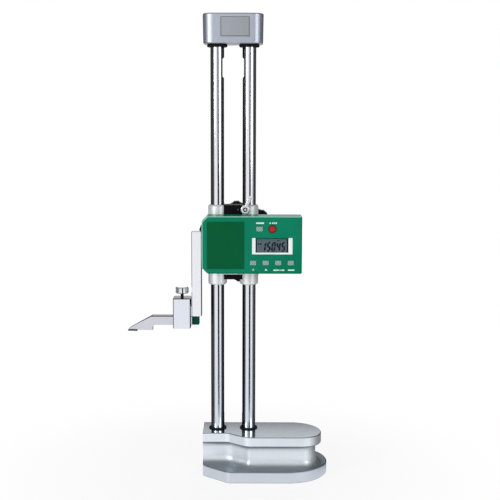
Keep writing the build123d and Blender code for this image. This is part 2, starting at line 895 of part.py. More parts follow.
# Gears
def gear_face(teeth, turn):
    """Involute gear in its own plane, with one tooth centred at the angle turn."""
    pitch_radius = gear_module * teeth / 2
    base_radius = pitch_radius * cos(radians(pressure_angle))
    root_radius = pitch_radius - addendum - root_gap
    tip_radius = pitch_radius + addendum
    thickness_angle = (tooth_pitch / 2 - backlash / 2) / (2 * pitch_radius)
    lead = tan(radians(pressure_angle)) - radians(pressure_angle)
    flank = []
    for share in flank_shares:
        radius = base_radius + (tip_radius - base_radius) * share
        angle = acos(base_radius / radius)
        flank.append((radius, thickness_angle + lead - tan(angle) + angle))
    flank.insert(0, (root_radius, flank[0][1]))
    points = []
    for count in range(teeth):
        middle = radians(turn) + 2 * pi * count / teeth
        points += [(r * cos(middle - a), r * sin(middle - a)) for r, a in flank]
        points += [(r * cos(middle + a), r * sin(middle + a)) for r, a in reversed(flank)]
    with BuildSketch() as face:
        with BuildLine():
            Polyline(*points, close=True)
        make_face()
    return face.sketch


with BuildPart() as drive_pinion:
    with BuildSketch(facing(pinion_width / 2)):
        with Locations((drive_x, drive_z)):
            add(gear_face(drive_teeth, 0))
    extrude(amount=pinion_width)
    with BuildSketch(facing(hub_back - wheel_screw_seat)):
        with Locations((drive_x, drive_z)):
            Circle(shaft_radius)
    extrude(amount=hub_back - wheel_screw_seat - pinion_width / 2)
    with BuildSketch(facing(-pinion_width / 2)):
        with Locations((drive_x, drive_z)):
            Circle(journal_diameter / 2)
    extrude(amount=gear_pocket_half + journal_length - pinion_width / 2)
    with BuildSketch(facing(hub_back - wheel_screw_seat)):
        with Locations((drive_x, drive_z)):
            Circle(wheel_screw_size[0] / 2 + seat_clearance)
    extrude(amount=wheel_screw_length, mode=Mode.SUBTRACT)
keep(drive_pinion, "drive_pinion")
with BuildPart() as pinion_bush:
    with BuildSketch(facing(web_back + boss_length)):
        with Locations((drive_x, drive_z)):
            Circle(pinion_bush_radius)
    extrude(amount=web_back + boss_length - gear_pocket_half)
    with BuildSketch(facing(web_back + boss_length)):
        with Locations((drive_x, drive_z)):
            Circle(pinion_bush_radius + pinion_bush_wall)
    extrude(amount=-pinion_bush_flange)
    with BuildSketch(facing(hub_front)):
        with Locations((drive_x, drive_z)):
            Circle(shaft_radius + running_clearance)
    extrude(amount=hub_front, mode=Mode.SUBTRACT)
keep(pinion_bush, "pinion_bush")

# Hand wheel: dished disc with a scalloped rim
with BuildPart() as hand_wheel:
    hub_radius = wheel_hub_diameter / 2
    rim_inside = wheel_radius - wheel_rim_depth
    web_middle = (rim_front + rim_back) / 2
    with BuildSketch(turning(drive_x, drive_z)):
        with BuildLine():
            Polyline(
                (shaft_radius + seat_clearance, hub_front),
                (hub_radius, hub_front),
                (hub_radius, web_middle - wheel_web / 2),
                (rim_inside, web_middle - wheel_web / 2),
                (rim_inside, rim_front),
                (wheel_radius, rim_front),
                (wheel_radius, rim_back),
                (rim_inside, rim_back),
                (rim_inside, web_middle + wheel_web / 2),
                (hub_radius, web_middle + wheel_web / 2),
                (hub_radius, hub_back),
                (shaft_radius + seat_clearance, hub_back),
                close=True,
            )
        make_face()
    revolve(axis=spin(drive_x, drive_z))
    with BuildSketch(facing(rim_back)):
        with Locations((drive_x, drive_z)):
            with PolarLocations(
                wheel_radius - scallop_depth + scallop_radius, wheel_scallops, 90 - scallop_phase
            ):
                Circle(scallop_radius)
    extrude(amount=wheel_rim_width, mode=Mode.SUBTRACT)
    outer = edges().filter_by(on_wheel_rim)
    fillet(outer, radius=wheel_edge_radius)
    with BuildSketch(facing(hub_back)):
        with Locations((drive_x, drive_z)):
            Circle(wheel_screw_size[1] / 2 + piece_gap)
    extrude(amount=wheel_screw_seat, mode=Mode.SUBTRACT)
keep(hand_wheel, "hand_wheel")
keep(
    socket_screws(
        [Plane(origin=(drive_x, hub_back - wheel_screw_seat, drive_z), z_dir=(0, 1, 0))],
        wheel_screw_size,
        wheel_screw_length,
    ),
    "wheel_screw",
)

# Encoder: gear, shaft and graduated disc
with BuildPart() as encoder_pinion:
    with BuildSketch(facing(pinion_width / 2)):
        with Locations((encoder_x, encoder_z)):
            add(gear_face(encoder_teeth, 180))
    extrude(amount=pinion_width)
    with BuildSketch(facing(gear_pocket_half + encoder_journal_length)):
        with Locations((encoder_x, encoder_z)):
            Circle(encoder_shaft_diameter / 2)
    extrude(amount=gear_pocket_half + encoder_journal_length - encoder_disc_front)
keep(encoder_pinion, "encoder_pinion")
with BuildPart() as encoder_disc:
    with BuildSketch(facing(encoder_disc_back)):
        with Locations((encoder_x, encoder_z)):
            Circle(encoder_disc_diameter / 2)
    extrude(amount=encoder_disc_thickness)
    with BuildSketch(facing(encoder_disc_back)):
        with Locations((encoder_x, encoder_z)):
            Circle(encoder_disc_hub / 2)
    extrude(amount=encoder_disc_back - encoder_disc_front)
    with BuildSketch(facing(encoder_disc_back)):
        with Locations((encoder_x, encoder_z)):
            Circle(encoder_shaft_diameter / 2 + seat_clearance)
    extrude(amount=encoder_disc_back - encoder_disc_front, mode=Mode.SUBTRACT)
keep(encoder_disc, "encoder_disc")


# Display housing
def housing_plan(inset):
    """Front outline of the housing, or that outline set in from its edge."""
    low, high = housing_bottom, housing_top
    left, right = -housing_left, housing_right
    with BuildSketch() as plan:
        with BuildLine():
            Polyline(
                (left + housing_chamfer, low),
                (right, low),
                (right, high),
                (left + housing_chamfer, high),
                (left, high - housing_chamfer),
                (left, low + housing_chamfer),
                close=True,
            )
        make_face()
        lower_left = vertices().sort_by_distance((left, low))[:2]
        fillet(lower_left, radius=lower_left_radius)
        fillet(vertices().group_by(Axis.X)[-1], radius=housing_corner_radius)
        if inset:
            offset(amount=-inset, kind=Kind.INTERSECTION)
    return plan.sketch


def window(left, bottom, width, height):
    """Sketch rectangle placed by its lower left corner from the housing's own lower left corner."""
    with BuildSketch() as plan:
        with Locations((left - housing_left, housing_bottom + bottom)):
            Rectangle(width, height, align=(Align.MIN, Align.MIN))
    return plan.sketch


post_places = [
    (x, z)
    for x in (post_left_inset - housing_left, housing_right - post_inset)
    for z in (housing_bottom + post_inset, housing_top - post_inset)
]
board_places = [
    (x - housing_left, z)
    for x in (board_left + board_post_inset, board_left + board_width - board_post_inset)
    for z in (board_bottom + board_post_inset, board_bottom + board_height - board_post_inset)
]
post_front = cover_back + cover_boss_height
hole_radius = small_screw[0] / 2 + seat_clearance
head_radius = small_screw[1] / 2 + piece_gap

with BuildPart() as rear_shell:
    with BuildSketch(facing(housing_back)):
        add(housing_plan(0))
    extrude(amount=housing_back - cover_back)
    with BuildSketch(facing(shell_floor)):
        add(housing_plan(housing_wall))
    extrude(amount=shell_floor - cover_back, mode=Mode.SUBTRACT)
    with BuildSketch(facing(shell_floor)):
        with Locations(*post_places):
            Circle(post_diameter / 2)
    extrude(amount=shell_floor - post_front)
    with BuildSketch(facing(shell_floor)):
        with Locations(*board_places):
            Circle(board_post / 2)
    extrude(amount=shell_floor - board_back)
    with BuildSketch(facing(housing_back)):
        with Locations(*post_places, *housing_screw_places):
            Circle(hole_radius)
    extrude(amount=housing_back - post_front, mode=Mode.SUBTRACT)
    with BuildSketch(facing(housing_back)):
        with Locations(*post_places):
            Circle(head_radius)
    extrude(amount=small_screw[2], mode=Mode.SUBTRACT)
    with BuildSketch(facing(board_back)):
        with Locations(*board_places):
            Circle(hole_radius)
    extrude(amount=-board_screw_depth, mode=Mode.SUBTRACT)
    with BuildSketch(facing(housing_back)):
        with Locations((encoder_x, encoder_z)):
            Circle(encoder_disc_hub / 2)
        with Locations((cell_x, cell_z)):
            Circle(cell_diameter / 2 + cell_gap)
    extrude(amount=housing_back_wall, mode=Mode.SUBTRACT)
    # slot for the sliding battery door, open at the housing's right end
    with BuildSketch(facing(housing_back)):
        with Locations((door_left - piece_gap / 2, cell_z)):
            Rectangle(housing_width, door_width + piece_gap, align=at_left)
    extrude(amount=housing_back - door_seat, mode=Mode.SUBTRACT)
    with BuildSketch(facing(door_seat + door_lip_thickness + piece_gap)):
        with Locations((door_left - piece_gap / 2, cell_z)):
            Rectangle(housing_width, door_width + 2 * door_lip + piece_gap, align=at_left)
    extrude(amount=door_lip_thickness + piece_gap, mode=Mode.SUBTRACT)
keep(rear_shell, "rear_shell")

with BuildPart() as battery_door:
    with BuildSketch(facing(housing_back)):
        with Locations((door_left, cell_z)):
            Rectangle(housing_right - door_left, door_width, align=at_left)
    extrude(amount=door_thickness)
    with BuildSketch(facing(door_seat + piece_gap / 2 + door_lip_thickness)):
        with Locations((door_left, cell_z)):
            Rectangle(housing_right - door_left, door_width + 2 * door_lip, align=at_left)
    extrude(amount=door_lip_thickness)
    with BuildSketch(facing(housing_back)):
        with Locations((housing_right - door_grip_length / 2, cell_z)):
            with GridLocations(door_grip_pitch, 0, door_grips, 1):
                Rectangle(door_grip_width, door_grip_length)
    extrude(amount=door_grip_depth, mode=Mode.SUBTRACT)
keep(battery_door, "battery_door")

keys = {
    "key_power": (power_key_inset, upper_key_rise),
    "key_zero": (zero_key_inset, upper_key_rise),
}
for number, name in enumerate(("key_hold", "key_unit", "key_set", "key_plus")):
    keys[name] = (key_row_end + number * key_row_pitch, key_row_rise)
key_places = {name: (housing_right - x, housing_bottom + z) for name, (x, z) in keys.items()}


def key_plan(name, margin):
    """Outline of one key at its place, larger all round by a margin."""
    with BuildSketch() as plan:
        with Locations(key_places[name]):
            if name == "key_zero":
                Circle(zero_key_diameter / 2 + margin)
            elif name == "key_power":
                RectangleRounded(power_key_width + 2 * margin, power_key_height + 2 * margin, key_radius)
            else:
                RectangleRounded(key_width + 2 * margin, key_height + 2 * margin, key_radius)
    return plan.sketch


with BuildPart() as front_cover:
    with BuildSketch(facing(cover_back)):
        add(housing_plan(0))
    extrude(amount=cover_thickness)
    chamfer(edges().group_by(Axis.Y)[0], length=cover_edge)
    with BuildSketch(facing(post_front)):
        with Locations(*post_places):
            Circle(post_diameter / 2)
    extrude(amount=cover_boss_height)
    with BuildSketch(facing(post_front)):
        with Locations(*post_places):
            Circle(hole_radius)
    extrude(amount=cover_boss_height + piece_gap, mode=Mode.SUBTRACT)
    with BuildSketch(facing(housing_front)):
        add(window(panel_left, panel_bottom, panel_width, panel_height))
    extrude(amount=-panel_recess - panel_thickness, mode=Mode.SUBTRACT)
    with BuildSketch(facing(housing_front)):
        add(window(frame_left, frame_bottom, frame_width, frame_height))
    extrude(amount=-frame_recess - frame_thickness, mode=Mode.SUBTRACT)
    with BuildSketch(facing(housing_front)):
        add(
            window(
                frame_left + frame_ledge,
                frame_bottom + frame_ledge / 2,
                frame_width - 2 * frame_ledge,
                frame_height - frame_ledge,
            )
        )
        for name in key_places:
            add(key_plan(name, piece_gap))
    extrude(amount=-cover_thickness, mode=Mode.SUBTRACT)
keep(front_cover, "front_cover")

with BuildPart() as face_panel:
    with BuildSketch(facing(housing_front + panel_recess + panel_thickness)):
        add(
            window(
                panel_left + seat_clearance,
                panel_bottom + seat_clearance,
                panel_width - 2 * seat_clearance,
                panel_height - 2 * seat_clearance,
            )
        )
    extrude(amount=panel_thickness)
keep(face_panel, "face_panel")

with BuildPart() as display_frame:
    with BuildSketch(facing(frame_back)):
        add(
            window(
                frame_left + seat_clearance,
                frame_bottom + seat_clearance,
                frame_width - 2 * seat_clearance,
                frame_height - 2 * seat_clearance,
            )
        )
        add(
            window(frame_left + window_left, frame_bottom + window_bottom, window_width, frame_height),
            mode=Mode.SUBTRACT,
        )
    extrude(amount=frame_thickness)
keep(display_frame, "display_frame")

with BuildPart() as display_lens:
    with BuildSketch(facing(frame_front + lens_recess + lens_thickness)):
        add(
            window(
                frame_left + window_left + seat_clearance,
                frame_bottom + window_bottom + seat_clearance,
                window_width - 2 * seat_clearance,
                lens_height - 2 * seat_clearance,
            )
        )
    extrude(amount=lens_thickness)
keep(display_lens, "display_lens")

lcd_left = frame_left + frame_ledge + lcd_margin / 2
lcd_bottom = frame_bottom + frame_ledge / 2 + lcd_margin / 2
lcd_width = frame_width - 2 * frame_ledge - lcd_margin
lcd_height = frame_height - frame_ledge - lcd_margin
with BuildPart() as lcd_panel:
    with BuildSketch(facing(lcd_back)):
        add(window(lcd_left, lcd_bottom, lcd_width, lcd_height))
    extrude(amount=lcd_thickness)
keep(lcd_panel, "lcd_panel")
with BuildPart() as lcd_connectors:
    with BuildSketch(facing(board_front)):
        add(window(lcd_left, lcd_bottom, lcd_width, connector_height))
        add(window(lcd_left, lcd_bottom + lcd_height - connector_height, lcd_width, connector_height))
    extrude(amount=connector_length)
keep(lcd_connectors, "lcd_connectors")

with BuildPart() as circuit_board:
    with BuildSketch(facing(board_back)):
        add(window(board_left, board_margin, board_width, board_height))
        with Locations(*board_places):
            Circle(hole_radius, mode=Mode.SUBTRACT)
    extrude(amount=board_thickness)
keep(circuit_board, "circuit_board")
keep(
    socket_screws(
        [Plane(origin=(x, board_front, z), z_dir=(0, -1, 0)) for x, z in board_places],
        small_screw,
        board_thickness + board_screw_depth - piece_gap,
    ),
    "board_screws",
)
with BuildPart() as key_switches:
    with BuildSketch(facing(board_front)):
        with Locations(*key_places.values()):
            Rectangle(switch_size, switch_size)
    extrude(amount=switch_height)
    with BuildSketch(facing(switch_front)):
        with Locations(*key_places.values()):
            Circle(plunger_diameter / 2)
    extrude(amount=plunger_height)
keep(key_switches, "key_switches")

for name, place in key_places.items():
    with BuildPart() as key:
        with BuildSketch(facing(cover_back + piece_gap / 2)):
            add(key_plan(name, 0))
        extrude(amount=cover_thickness + key_proud + piece_gap / 2)
        fillet(edges().group_by(Axis.Y)[0], radius=key_edge)
        with BuildSketch(facing(cover_back + piece_gap / 2 + key_flange_thickness)):
            add(key_plan(name, key_flange))
        extrude(amount=key_flange_thickness)
        with BuildSketch(facing(key_back)):
            with Locations(place):
                Circle(key_stem / 2)
        extrude(amount=key_back - cover_back - piece_gap)
    keep(key, name)

# Encoder head: fork that reads the disc's edge
with BuildPart() as encoder_head:
    head_left = encoder_x + encoder_disc_diameter / 2 - head_overlap
    disc_front = encoder_disc_back - encoder_disc_thickness
    with BuildSketch(facing(shell_floor)):
        with Locations((head_left, encoder_z)):
            Rectangle(head_length, head_height, align=at_left)
    extrude(amount=shell_floor - disc_front + head_arm)
    with BuildSketch(facing(encoder_disc_back + head_gap)):
        with Locations((head_left, encoder_z)):
            Rectangle(head_slot_depth, head_height, align=at_left)
    extrude(amount=encoder_disc_thickness + 2 * head_gap, mode=Mode.SUBTRACT)
keep(encoder_head, "encoder_head")

# Battery and its holder
holder_radius = cell_diameter / 2 + cell_gap + holder_wall
holder_floor = cell_front - contact_thickness
with BuildPart() as battery_holder:
    with BuildSketch(facing(shell_floor)):
        with Locations((cell_x, cell_z)):
            Circle(holder_radius)
    extrude(amount=shell_floor - board_back)
    with BuildSketch(facing(shell_floor)):
        with Locations((cell_x, cell_z)):
            Circle(cell_diameter / 2 + cell_gap)
    extrude(amount=shell_floor - holder_floor, mode=Mode.SUBTRACT)
    with BuildSketch(facing(board_back)):
        with Locations((cell_x, cell_z)):
            Circle(cell_diameter / 2 + cell_gap)
    extrude(amount=board_back - holder_floor + holder_wall, mode=Mode.SUBTRACT)
keep(battery_holder, "battery_holder")
with BuildPart() as battery_contact:
    with BuildSketch(facing(cell_front)):
        with Locations((cell_x, cell_z)):
            Rectangle(contact_length, contact_width)
    extrude(amount=contact_thickness)
keep(battery_contact, "battery_contact")
with BuildPart() as coin_cell:
    with BuildSketch(facing(cell_back)):
        with Locations((cell_x, cell_z)):
            Circle(cell_diameter / 2)
    extrude(amount=cell_thickness)
    chamfer(edges().group_by(Axis.Y)[0], length=cell_gap)
keep(coin_cell, "coin_cell")

keep(
    socket_screws(
        [Plane(origin=(x, shell_floor, z), z_dir=(0, -1, 0)) for x, z in housing_screw_places],
        small_screw,
        housing_back_wall + housing_gap,
    ),
    "housing_screws",
)
keep(
    socket_screws(
        [Plane(origin=(x, housing_back - small_screw[2], z), z_dir=(0, 1, 0)) for x, z in post_places],
        small_screw,
        housing_back - small_screw[2] - cover_back,
    ),
    "cover_screws",
)

# Arm, bent to a foot that the scriber's shank bears on
with BuildPart() as drop_arm:
    with BuildSketch(facing(arm_depth / 2)):
        with Locations((arm_right, foot_bottom)):
            Rectangle(arm_width, slider_bottom + arm_rise - foot_bottom, align=(Align.MAX, Align.MIN))
    extrude(amount=arm_depth)
    chamfer(edges().filter_by(Axis.Z), length=arm_edge)
    with BuildSketch(facing(foot_depth / 2)):
        with Locations((arm_left + arm_width / 2, foot_bottom)):
            Rectangle(foot_length + arm_width / 2, foot_height, align=(Align.MAX, Align.MIN))
    extrude(amount=foot_depth)
    arm_screw_planes = [
        Plane(origin=(arm_left + arm_screw[2] + piece_gap, 0, z), z_dir=(-1, 0, 0))
        for z in arm_screw_heights
    ]
    with BuildSketch(*arm_screw_planes):
        Circle(arm_screw[1] / 2 + piece_gap)
    extrude(amount=arm_screw[2] + piece_gap, mode=Mode.SUBTRACT)
    with BuildSketch(*arm_screw_planes):
        Circle(arm_screw[0] / 2 + piece_gap)
    extrude(amount=-arm_width, mode=Mode.SUBTRACT)
keep(drop_arm, "drop_arm")
keep(socket_screws(arm_screw_planes, arm_screw, arm_screw_length), "arm_screws")

# Scriber clamp: box round the foot and the shank, tightened from above
clamp_bottom = clamp_slot_bottom - clamp_floor
with BuildPart() as scriber_clamp:
    with BuildSketch(Plane.YZ.offset(clamp_left)):
        with Locations((0, clamp_bottom)):
            Rectangle(clamp_depth, clamp_top - clamp_bottom, align=(Align.CENTER, Align.MIN))
    extrude(amount=clamp_length)
    chamfer(edges(), length=clamp_edge)
    with BuildSketch(Plane.YZ.offset(clamp_left)):
        with Locations((0, clamp_slot_bottom)):
            Rectangle(
                foot_depth + slot_gap, clamp_slot_top - clamp_slot_bottom, align=(Align.CENTER, Align.MIN)
            )
    extrude(amount=clamp_length, mode=Mode.SUBTRACT)
    with BuildSketch(Plane.XY.offset(clamp_top)):
        with Locations((clamp_x, 0)):
            Circle(thumb_thread / 2 + running_clearance)
    extrude(amount=-clamp_top_wall - slot_gap, mode=Mode.SUBTRACT)
keep(scriber_clamp, "scriber_clamp")

with BuildPart() as clamp_pad:
    with Locations((clamp_x, 0, foot_top + seat_clearance)):
        Cylinder(thumb_pad_diameter / 2, thumb_pad_height, align=on_floor)
keep(clamp_pad, "clamp_pad")

thumb_bottom = foot_top + thumb_pad_height + 2 * seat_clearance
head_bottom = clamp_top + thumb_neck_height
with BuildPart() as thumbscrew:
    with BuildSketch(Plane.XY.offset(head_bottom)):
        with Locations((clamp_x, 0)):
            Circle(thumb_diameter / 2)
    extrude(amount=thumb_height)
    chamfer(edges().filter_by(GeomType.CIRCLE), length=thumb_edge)
    with BuildSketch(Plane.XY.offset(head_bottom)):
        with Locations((clamp_x, 0)):
            with PolarLocations(thumb_diameter / 2, thumb_flutes):
                Circle(thumb_flute_depth)
    extrude(amount=thumb_height, mode=Mode.SUBTRACT)
    with Locations((clamp_x, 0, clamp_top)):
        Cylinder(thumb_neck / 2, thumb_neck_height, align=on_floor)
    with Locations((clamp_x, 0, thumb_bottom)):
        Cylinder(thumb_thread / 2, clamp_top - thumb_bottom, align=on_floor)
keep(thumbscrew, "thumbscrew")


# Scriber, narrowed in plan towards its tip
def nose_plan():
    """Plan that the nose and its tip share: full width at the shank, narrow at the point."""
    nose_start = tip_x + nose_length
    with BuildSketch() as plan:
        with BuildLine():
            Polyline(
                (tip_x, -tip_width / 2),
                (nose_start, -shank_depth / 2),
                (shank_end + tenon_length, -shank_depth / 2),
                (shank_end + tenon_length, shank_depth / 2),
                (nose_start, shank_depth / 2),
                (tip_x, tip_width / 2),
                close=True,
            )
        make_face()
    return plan.sketch


nose_bottom = reading + carbide_proud
heel_x = tip_x + heel_length
with BuildPart() as scriber:
    with BuildSketch(facing(shank_depth / 2)):
        with BuildLine():
            Polyline(
                (heel_x, nose_bottom + heel_rise),
                (heel_x, nose_bottom),
                (tip_x + carbide_length, nose_bottom),
                (tip_x + carbide_length, reading + carbide_height),
                (tip_x + carbide_bevel, reading + carbide_height),
                (tip_x + nose_length - nose_slope_length, reading + nose_slope_end_rise),
                (tip_x + nose_length, shank_top),
                (shank_end, shank_top),
                (shank_end, shank_bottom),
                (heel_x + heel_run, shank_bottom),
            )
            heel = JernArc((heel_x + heel_run, shank_bottom), (-1, 0), heel_run, heel_turn)
            Line(heel @ 1, (heel_x, nose_bottom + heel_rise))
        make_face()
    extrude(amount=shank_depth)
    with BuildSketch(Plane.XY.offset(reading)):
        add(nose_plan())
    extrude(amount=shank_top - reading, mode=Mode.INTERSECT)
    with BuildSketch(Plane.YZ.offset(shank_end)):
        with Locations((0, (shank_bottom + shank_top) / 2)):
            Rectangle(tenon_side, tenon_side)
    extrude(amount=tenon_length)
keep(scriber, "scriber")

with BuildPart() as carbide_tip:
    with BuildSketch(facing(shank_depth / 2)):
        with BuildLine():
            Polyline(
                (tip_x, reading),
                (tip_x + carbide_bevel, reading + carbide_height - seat_clearance),
                (tip_x + carbide_length - seat_clearance, reading + carbide_height - seat_clearance),
                (tip_x + carbide_length - seat_clearance, reading),
                close=True,
            )
        make_face()
    extrude(amount=shank_depth)
    with BuildSketch(Plane.XY.offset(reading)):
        add(nose_plan())
    extrude(amount=shank_height, mode=Mode.INTERSECT)
keep(carbide_tip, "carbide_tip")

with BuildPart() as shank_cap:
    with BuildSketch(Plane.YZ.offset(shank_end + seat_clearance)):
        with Locations((0, (shank_bottom + shank_top) / 2)):
            Rectangle(shank_depth - 2 * shank_cap_margin, shank_height - 2 * shank_cap_margin)
    extrude(amount=shank_cap_length)
    fillet(edges().group_by(Axis.X)[-1], radius=shank_cap_edge)
    with BuildSketch(Plane.YZ.offset(shank_end)):
        with Locations((0, (shank_bottom + shank_top) / 2)):
            Rectangle(tenon_side + 2 * seat_clearance, tenon_side + 2 * seat_clearance)
    extrude(amount=tenon_length + 2 * seat_clearance, mode=Mode.SUBTRACT)
keep(shank_cap, "shank_cap")
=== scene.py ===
# %% [markdown]
# # A digital height gauge on two columns
#
# A height gauge stands on a flat plate and tells how high the tip of its scriber is. The shapes
# come from a CAD model, which this script loads and doesn't change. What is left for Blender is
# how the gauge looks: chrome that has been ground, cast iron under enamel, moulded plastic,
# the printed signs, and the digits of the display.

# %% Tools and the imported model
import json
import math

import bmesh
import bpy
from mathutils import Matrix, Vector

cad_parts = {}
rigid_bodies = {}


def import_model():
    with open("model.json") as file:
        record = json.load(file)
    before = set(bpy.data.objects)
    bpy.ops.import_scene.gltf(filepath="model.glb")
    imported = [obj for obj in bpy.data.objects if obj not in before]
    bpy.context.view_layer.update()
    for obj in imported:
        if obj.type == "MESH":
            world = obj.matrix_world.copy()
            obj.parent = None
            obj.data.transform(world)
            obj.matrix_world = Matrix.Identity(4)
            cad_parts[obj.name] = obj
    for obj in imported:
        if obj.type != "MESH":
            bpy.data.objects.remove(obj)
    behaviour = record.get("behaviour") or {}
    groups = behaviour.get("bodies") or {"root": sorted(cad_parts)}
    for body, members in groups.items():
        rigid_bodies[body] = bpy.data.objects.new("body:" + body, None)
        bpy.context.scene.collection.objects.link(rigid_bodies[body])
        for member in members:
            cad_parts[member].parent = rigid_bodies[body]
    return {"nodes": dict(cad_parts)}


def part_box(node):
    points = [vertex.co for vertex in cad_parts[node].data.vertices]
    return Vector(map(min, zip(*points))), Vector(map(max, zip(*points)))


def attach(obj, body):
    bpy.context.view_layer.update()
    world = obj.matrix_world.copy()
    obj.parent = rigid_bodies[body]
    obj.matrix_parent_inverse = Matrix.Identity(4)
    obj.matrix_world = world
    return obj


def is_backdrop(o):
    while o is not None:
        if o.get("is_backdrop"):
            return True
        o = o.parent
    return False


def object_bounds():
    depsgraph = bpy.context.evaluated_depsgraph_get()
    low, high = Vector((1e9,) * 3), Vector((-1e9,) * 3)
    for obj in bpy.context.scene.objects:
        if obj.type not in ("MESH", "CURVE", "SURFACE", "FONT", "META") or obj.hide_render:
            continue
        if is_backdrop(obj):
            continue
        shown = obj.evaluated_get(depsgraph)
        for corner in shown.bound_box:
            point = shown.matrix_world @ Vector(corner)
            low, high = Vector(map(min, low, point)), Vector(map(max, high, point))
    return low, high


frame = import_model()
nodes = frame["nodes"]
cad_low, cad_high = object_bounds()
MM = 0.001
print("Gauge in millimetres:", [round(side / MM, 1) for side in cad_high - cad_low])

# %% [markdown]
# ## Camera
#
# The photograph was taken from about a metre away, a little above the middle of the gauge. The
# numbers below were found by matching the columns' ends and the base's corners. A long lens
# keeps the columns nearly parallel, as product photographs do.

# %% Camera
scene = bpy.context.scene
camera = bpy.data.objects.new("camera", bpy.data.cameras.new("camera"))
scene.collection.objects.link(camera)
scene.camera = camera
camera.data.lens = 74.36
camera.data.sensor_width = 36.0
camera.location = Vector((17.3, -1058.8, 373.7)) * MM
looking_down = math.radians(7.44)
leaning = math.radians(0.14)
level_view = Matrix.Rotation(math.pi / 2 - looking_down, 4, "X")
camera.rotation_euler = (level_view @ Matrix.Rotation(leaning, 4, "Z")).to_euler()
scene.view_settings.view_transform = "Standard"
print("Camera's distance in metres:", round(camera.location.length, 2))

# %% [markdown]
# ## Shader arithmetic in Python
#
# A material in Blender is a graph of nodes. Wiring each sum by hand hides what it means, so one
# small class wraps a node's output and lets Python's own operators add the Math nodes: `1 - mask`
# reads like the sum it is. Everything that isn't arithmetic on numbers goes through one method,
# `node`, which sets a node's choices first and then its sockets.


# %% A socket that can be added and multiplied
class Value:
    """The output of a node; arithmetic on it adds Math nodes to the same graph."""

    def __init__(self, graph, socket):
        self.graph = graph
        self.socket = socket

    def math(self, operation, first, second):
        return self.graph.node("ShaderNodeMath", {"operation": operation}, {0: first, 1: second})

    def __add__(self, other):
        return self.math("ADD", self, other)

    def __sub__(self, other):
        return self.math("SUBTRACT", self, other)

    def __rsub__(self, other):
        return self.math("SUBTRACT", other, self)

    def __mul__(self, other):
        return self.math("MULTIPLY", self, other)

    def __pow__(self, other):
        return self.math("POWER", self, other)

    def __gt__(self, other):
        return self.math("GREATER_THAN", self, other)

    def __lt__(self, other):
        return self.math("LESS_THAN", self, other)

    def __abs__(self):
        return self.math("ABSOLUTE", self, 0)

    def sine(self):
        return self.math("SINE", self, 0)

    __radd__ = __add__
    __rmul__ = __mul__


# %% A graph that nodes are added to
class Graph:
    """A node tree, of a material or of the world."""

    def __init__(self, tree):
        self.tree = tree
        tree.nodes.clear()

    def node(self, kind, settings=None, sockets=None, output=0):
        """Add a node: its settings first, then a value or a link for each socket named."""
        made = self.tree.nodes.new(kind)
        for name, setting in (settings or {}).items():
            if name == "stops":
                ramp = made.color_ramp
                while len(ramp.elements) < len(setting):
                    ramp.elements.new(0.5)
                for element, (place, shade) in zip(ramp.elements, setting):
                    element.position = place
                    element.color = (shade, shade, shade, 1)
            else:
                setattr(made, name, setting)
        for name, value in (sockets or {}).items():
            socket = made.inputs[name] if isinstance(name, int) else self.find(made.inputs, name)
            if isinstance(value, Value):
                self.tree.links.new(value.socket, socket)
            else:
                socket.default_value = value
        if not made.outputs:
            return made
        found = made.outputs[output] if isinstance(output, int) else self.find(made.outputs, output)
        return Value(self, found)

    def find(self, sockets, name):
        """A socket by its identifier, or else by its name."""
        matching = [socket for socket in sockets if socket.identifier == name]
        return matching[0] if matching else sockets[name]

    def blend(self, share, first, second):
        """The first colour where share is 0, the second where it is 1."""
        return self.node(
            "ShaderNodeMix",
            {"data_type": "RGBA"},
            {"Factor_Float": share, "A_Color": first, "B_Color": second},
            "Result_Color",
        )

    def place(self, stretch=(1, 1, 1)):
        """Position on the object, in metres, stretched along each axis."""
        spot = self.node("ShaderNodeTexCoord", output="Object")
        return self.node("ShaderNodeVectorMath", {"operation": "MULTIPLY"}, {0: spot, 1: stretch})

    def noise(self, grains_per_metre, detail=2.0, stretch=(1, 1, 1)):
        """Noise from 0 to 1, with a grain of a real size."""
        return self.node(
            "ShaderNodeTexNoise",
            {},
            {"Vector": self.place(stretch), "Scale": grains_per_metre, "Detail": detail},
        )

    def ramp(self, value, *stops):
        """Read value off a curve of (place, result) stops."""
        return self.node("ShaderNodeValToRGB", {"stops": stops}, {"Fac": value})

    def bump(self, height, strength, distance):
        """Small relief, by its height map and its depth in metres."""
        return self.node(
            "ShaderNodeBump", {}, {"Height": height, "Strength": strength, "Distance": distance}
        )

    def axis(self, output, which):
        """One coordinate of a vector output of the Geometry or Texture Coordinate node."""
        faces = output in ("Normal", "True Normal")
        kind = "ShaderNodeNewGeometry" if faces else "ShaderNodeTexCoord"
        vector = self.node(kind, output=output)
        return self.node("ShaderNodeSeparateXYZ", {}, {"Vector": vector}, which)


def surface(name, **sockets):
    """Start a material: gives its graph, and a function that closes it with a Principled shader."""
    material = bpy.data.materials.new(name)
    material.use_nodes = True
    graph = Graph(material.node_tree)

    def close(**values):
        shader = graph.node(
            "ShaderNodeBsdfPrincipled",
            {},
            {key.replace("_", " "): value for key, value in {**sockets, **values}.items()},
        )
        graph.node("ShaderNodeOutputMaterial", {}, {"Surface": shader})
        return material

    return graph, close


# %% [markdown]
# ## A pale studio
#
# The photograph's background is plain white. White here comes from the colour of the floor and
# of the world, not from strong lamps, so colours on the gauge stay as they are written. Chrome
# shows what is round it, and in an all-white room it would look like paper. Photographers stand
# dark cards beside polished metal, and so does this scene: the cards show in reflections only.


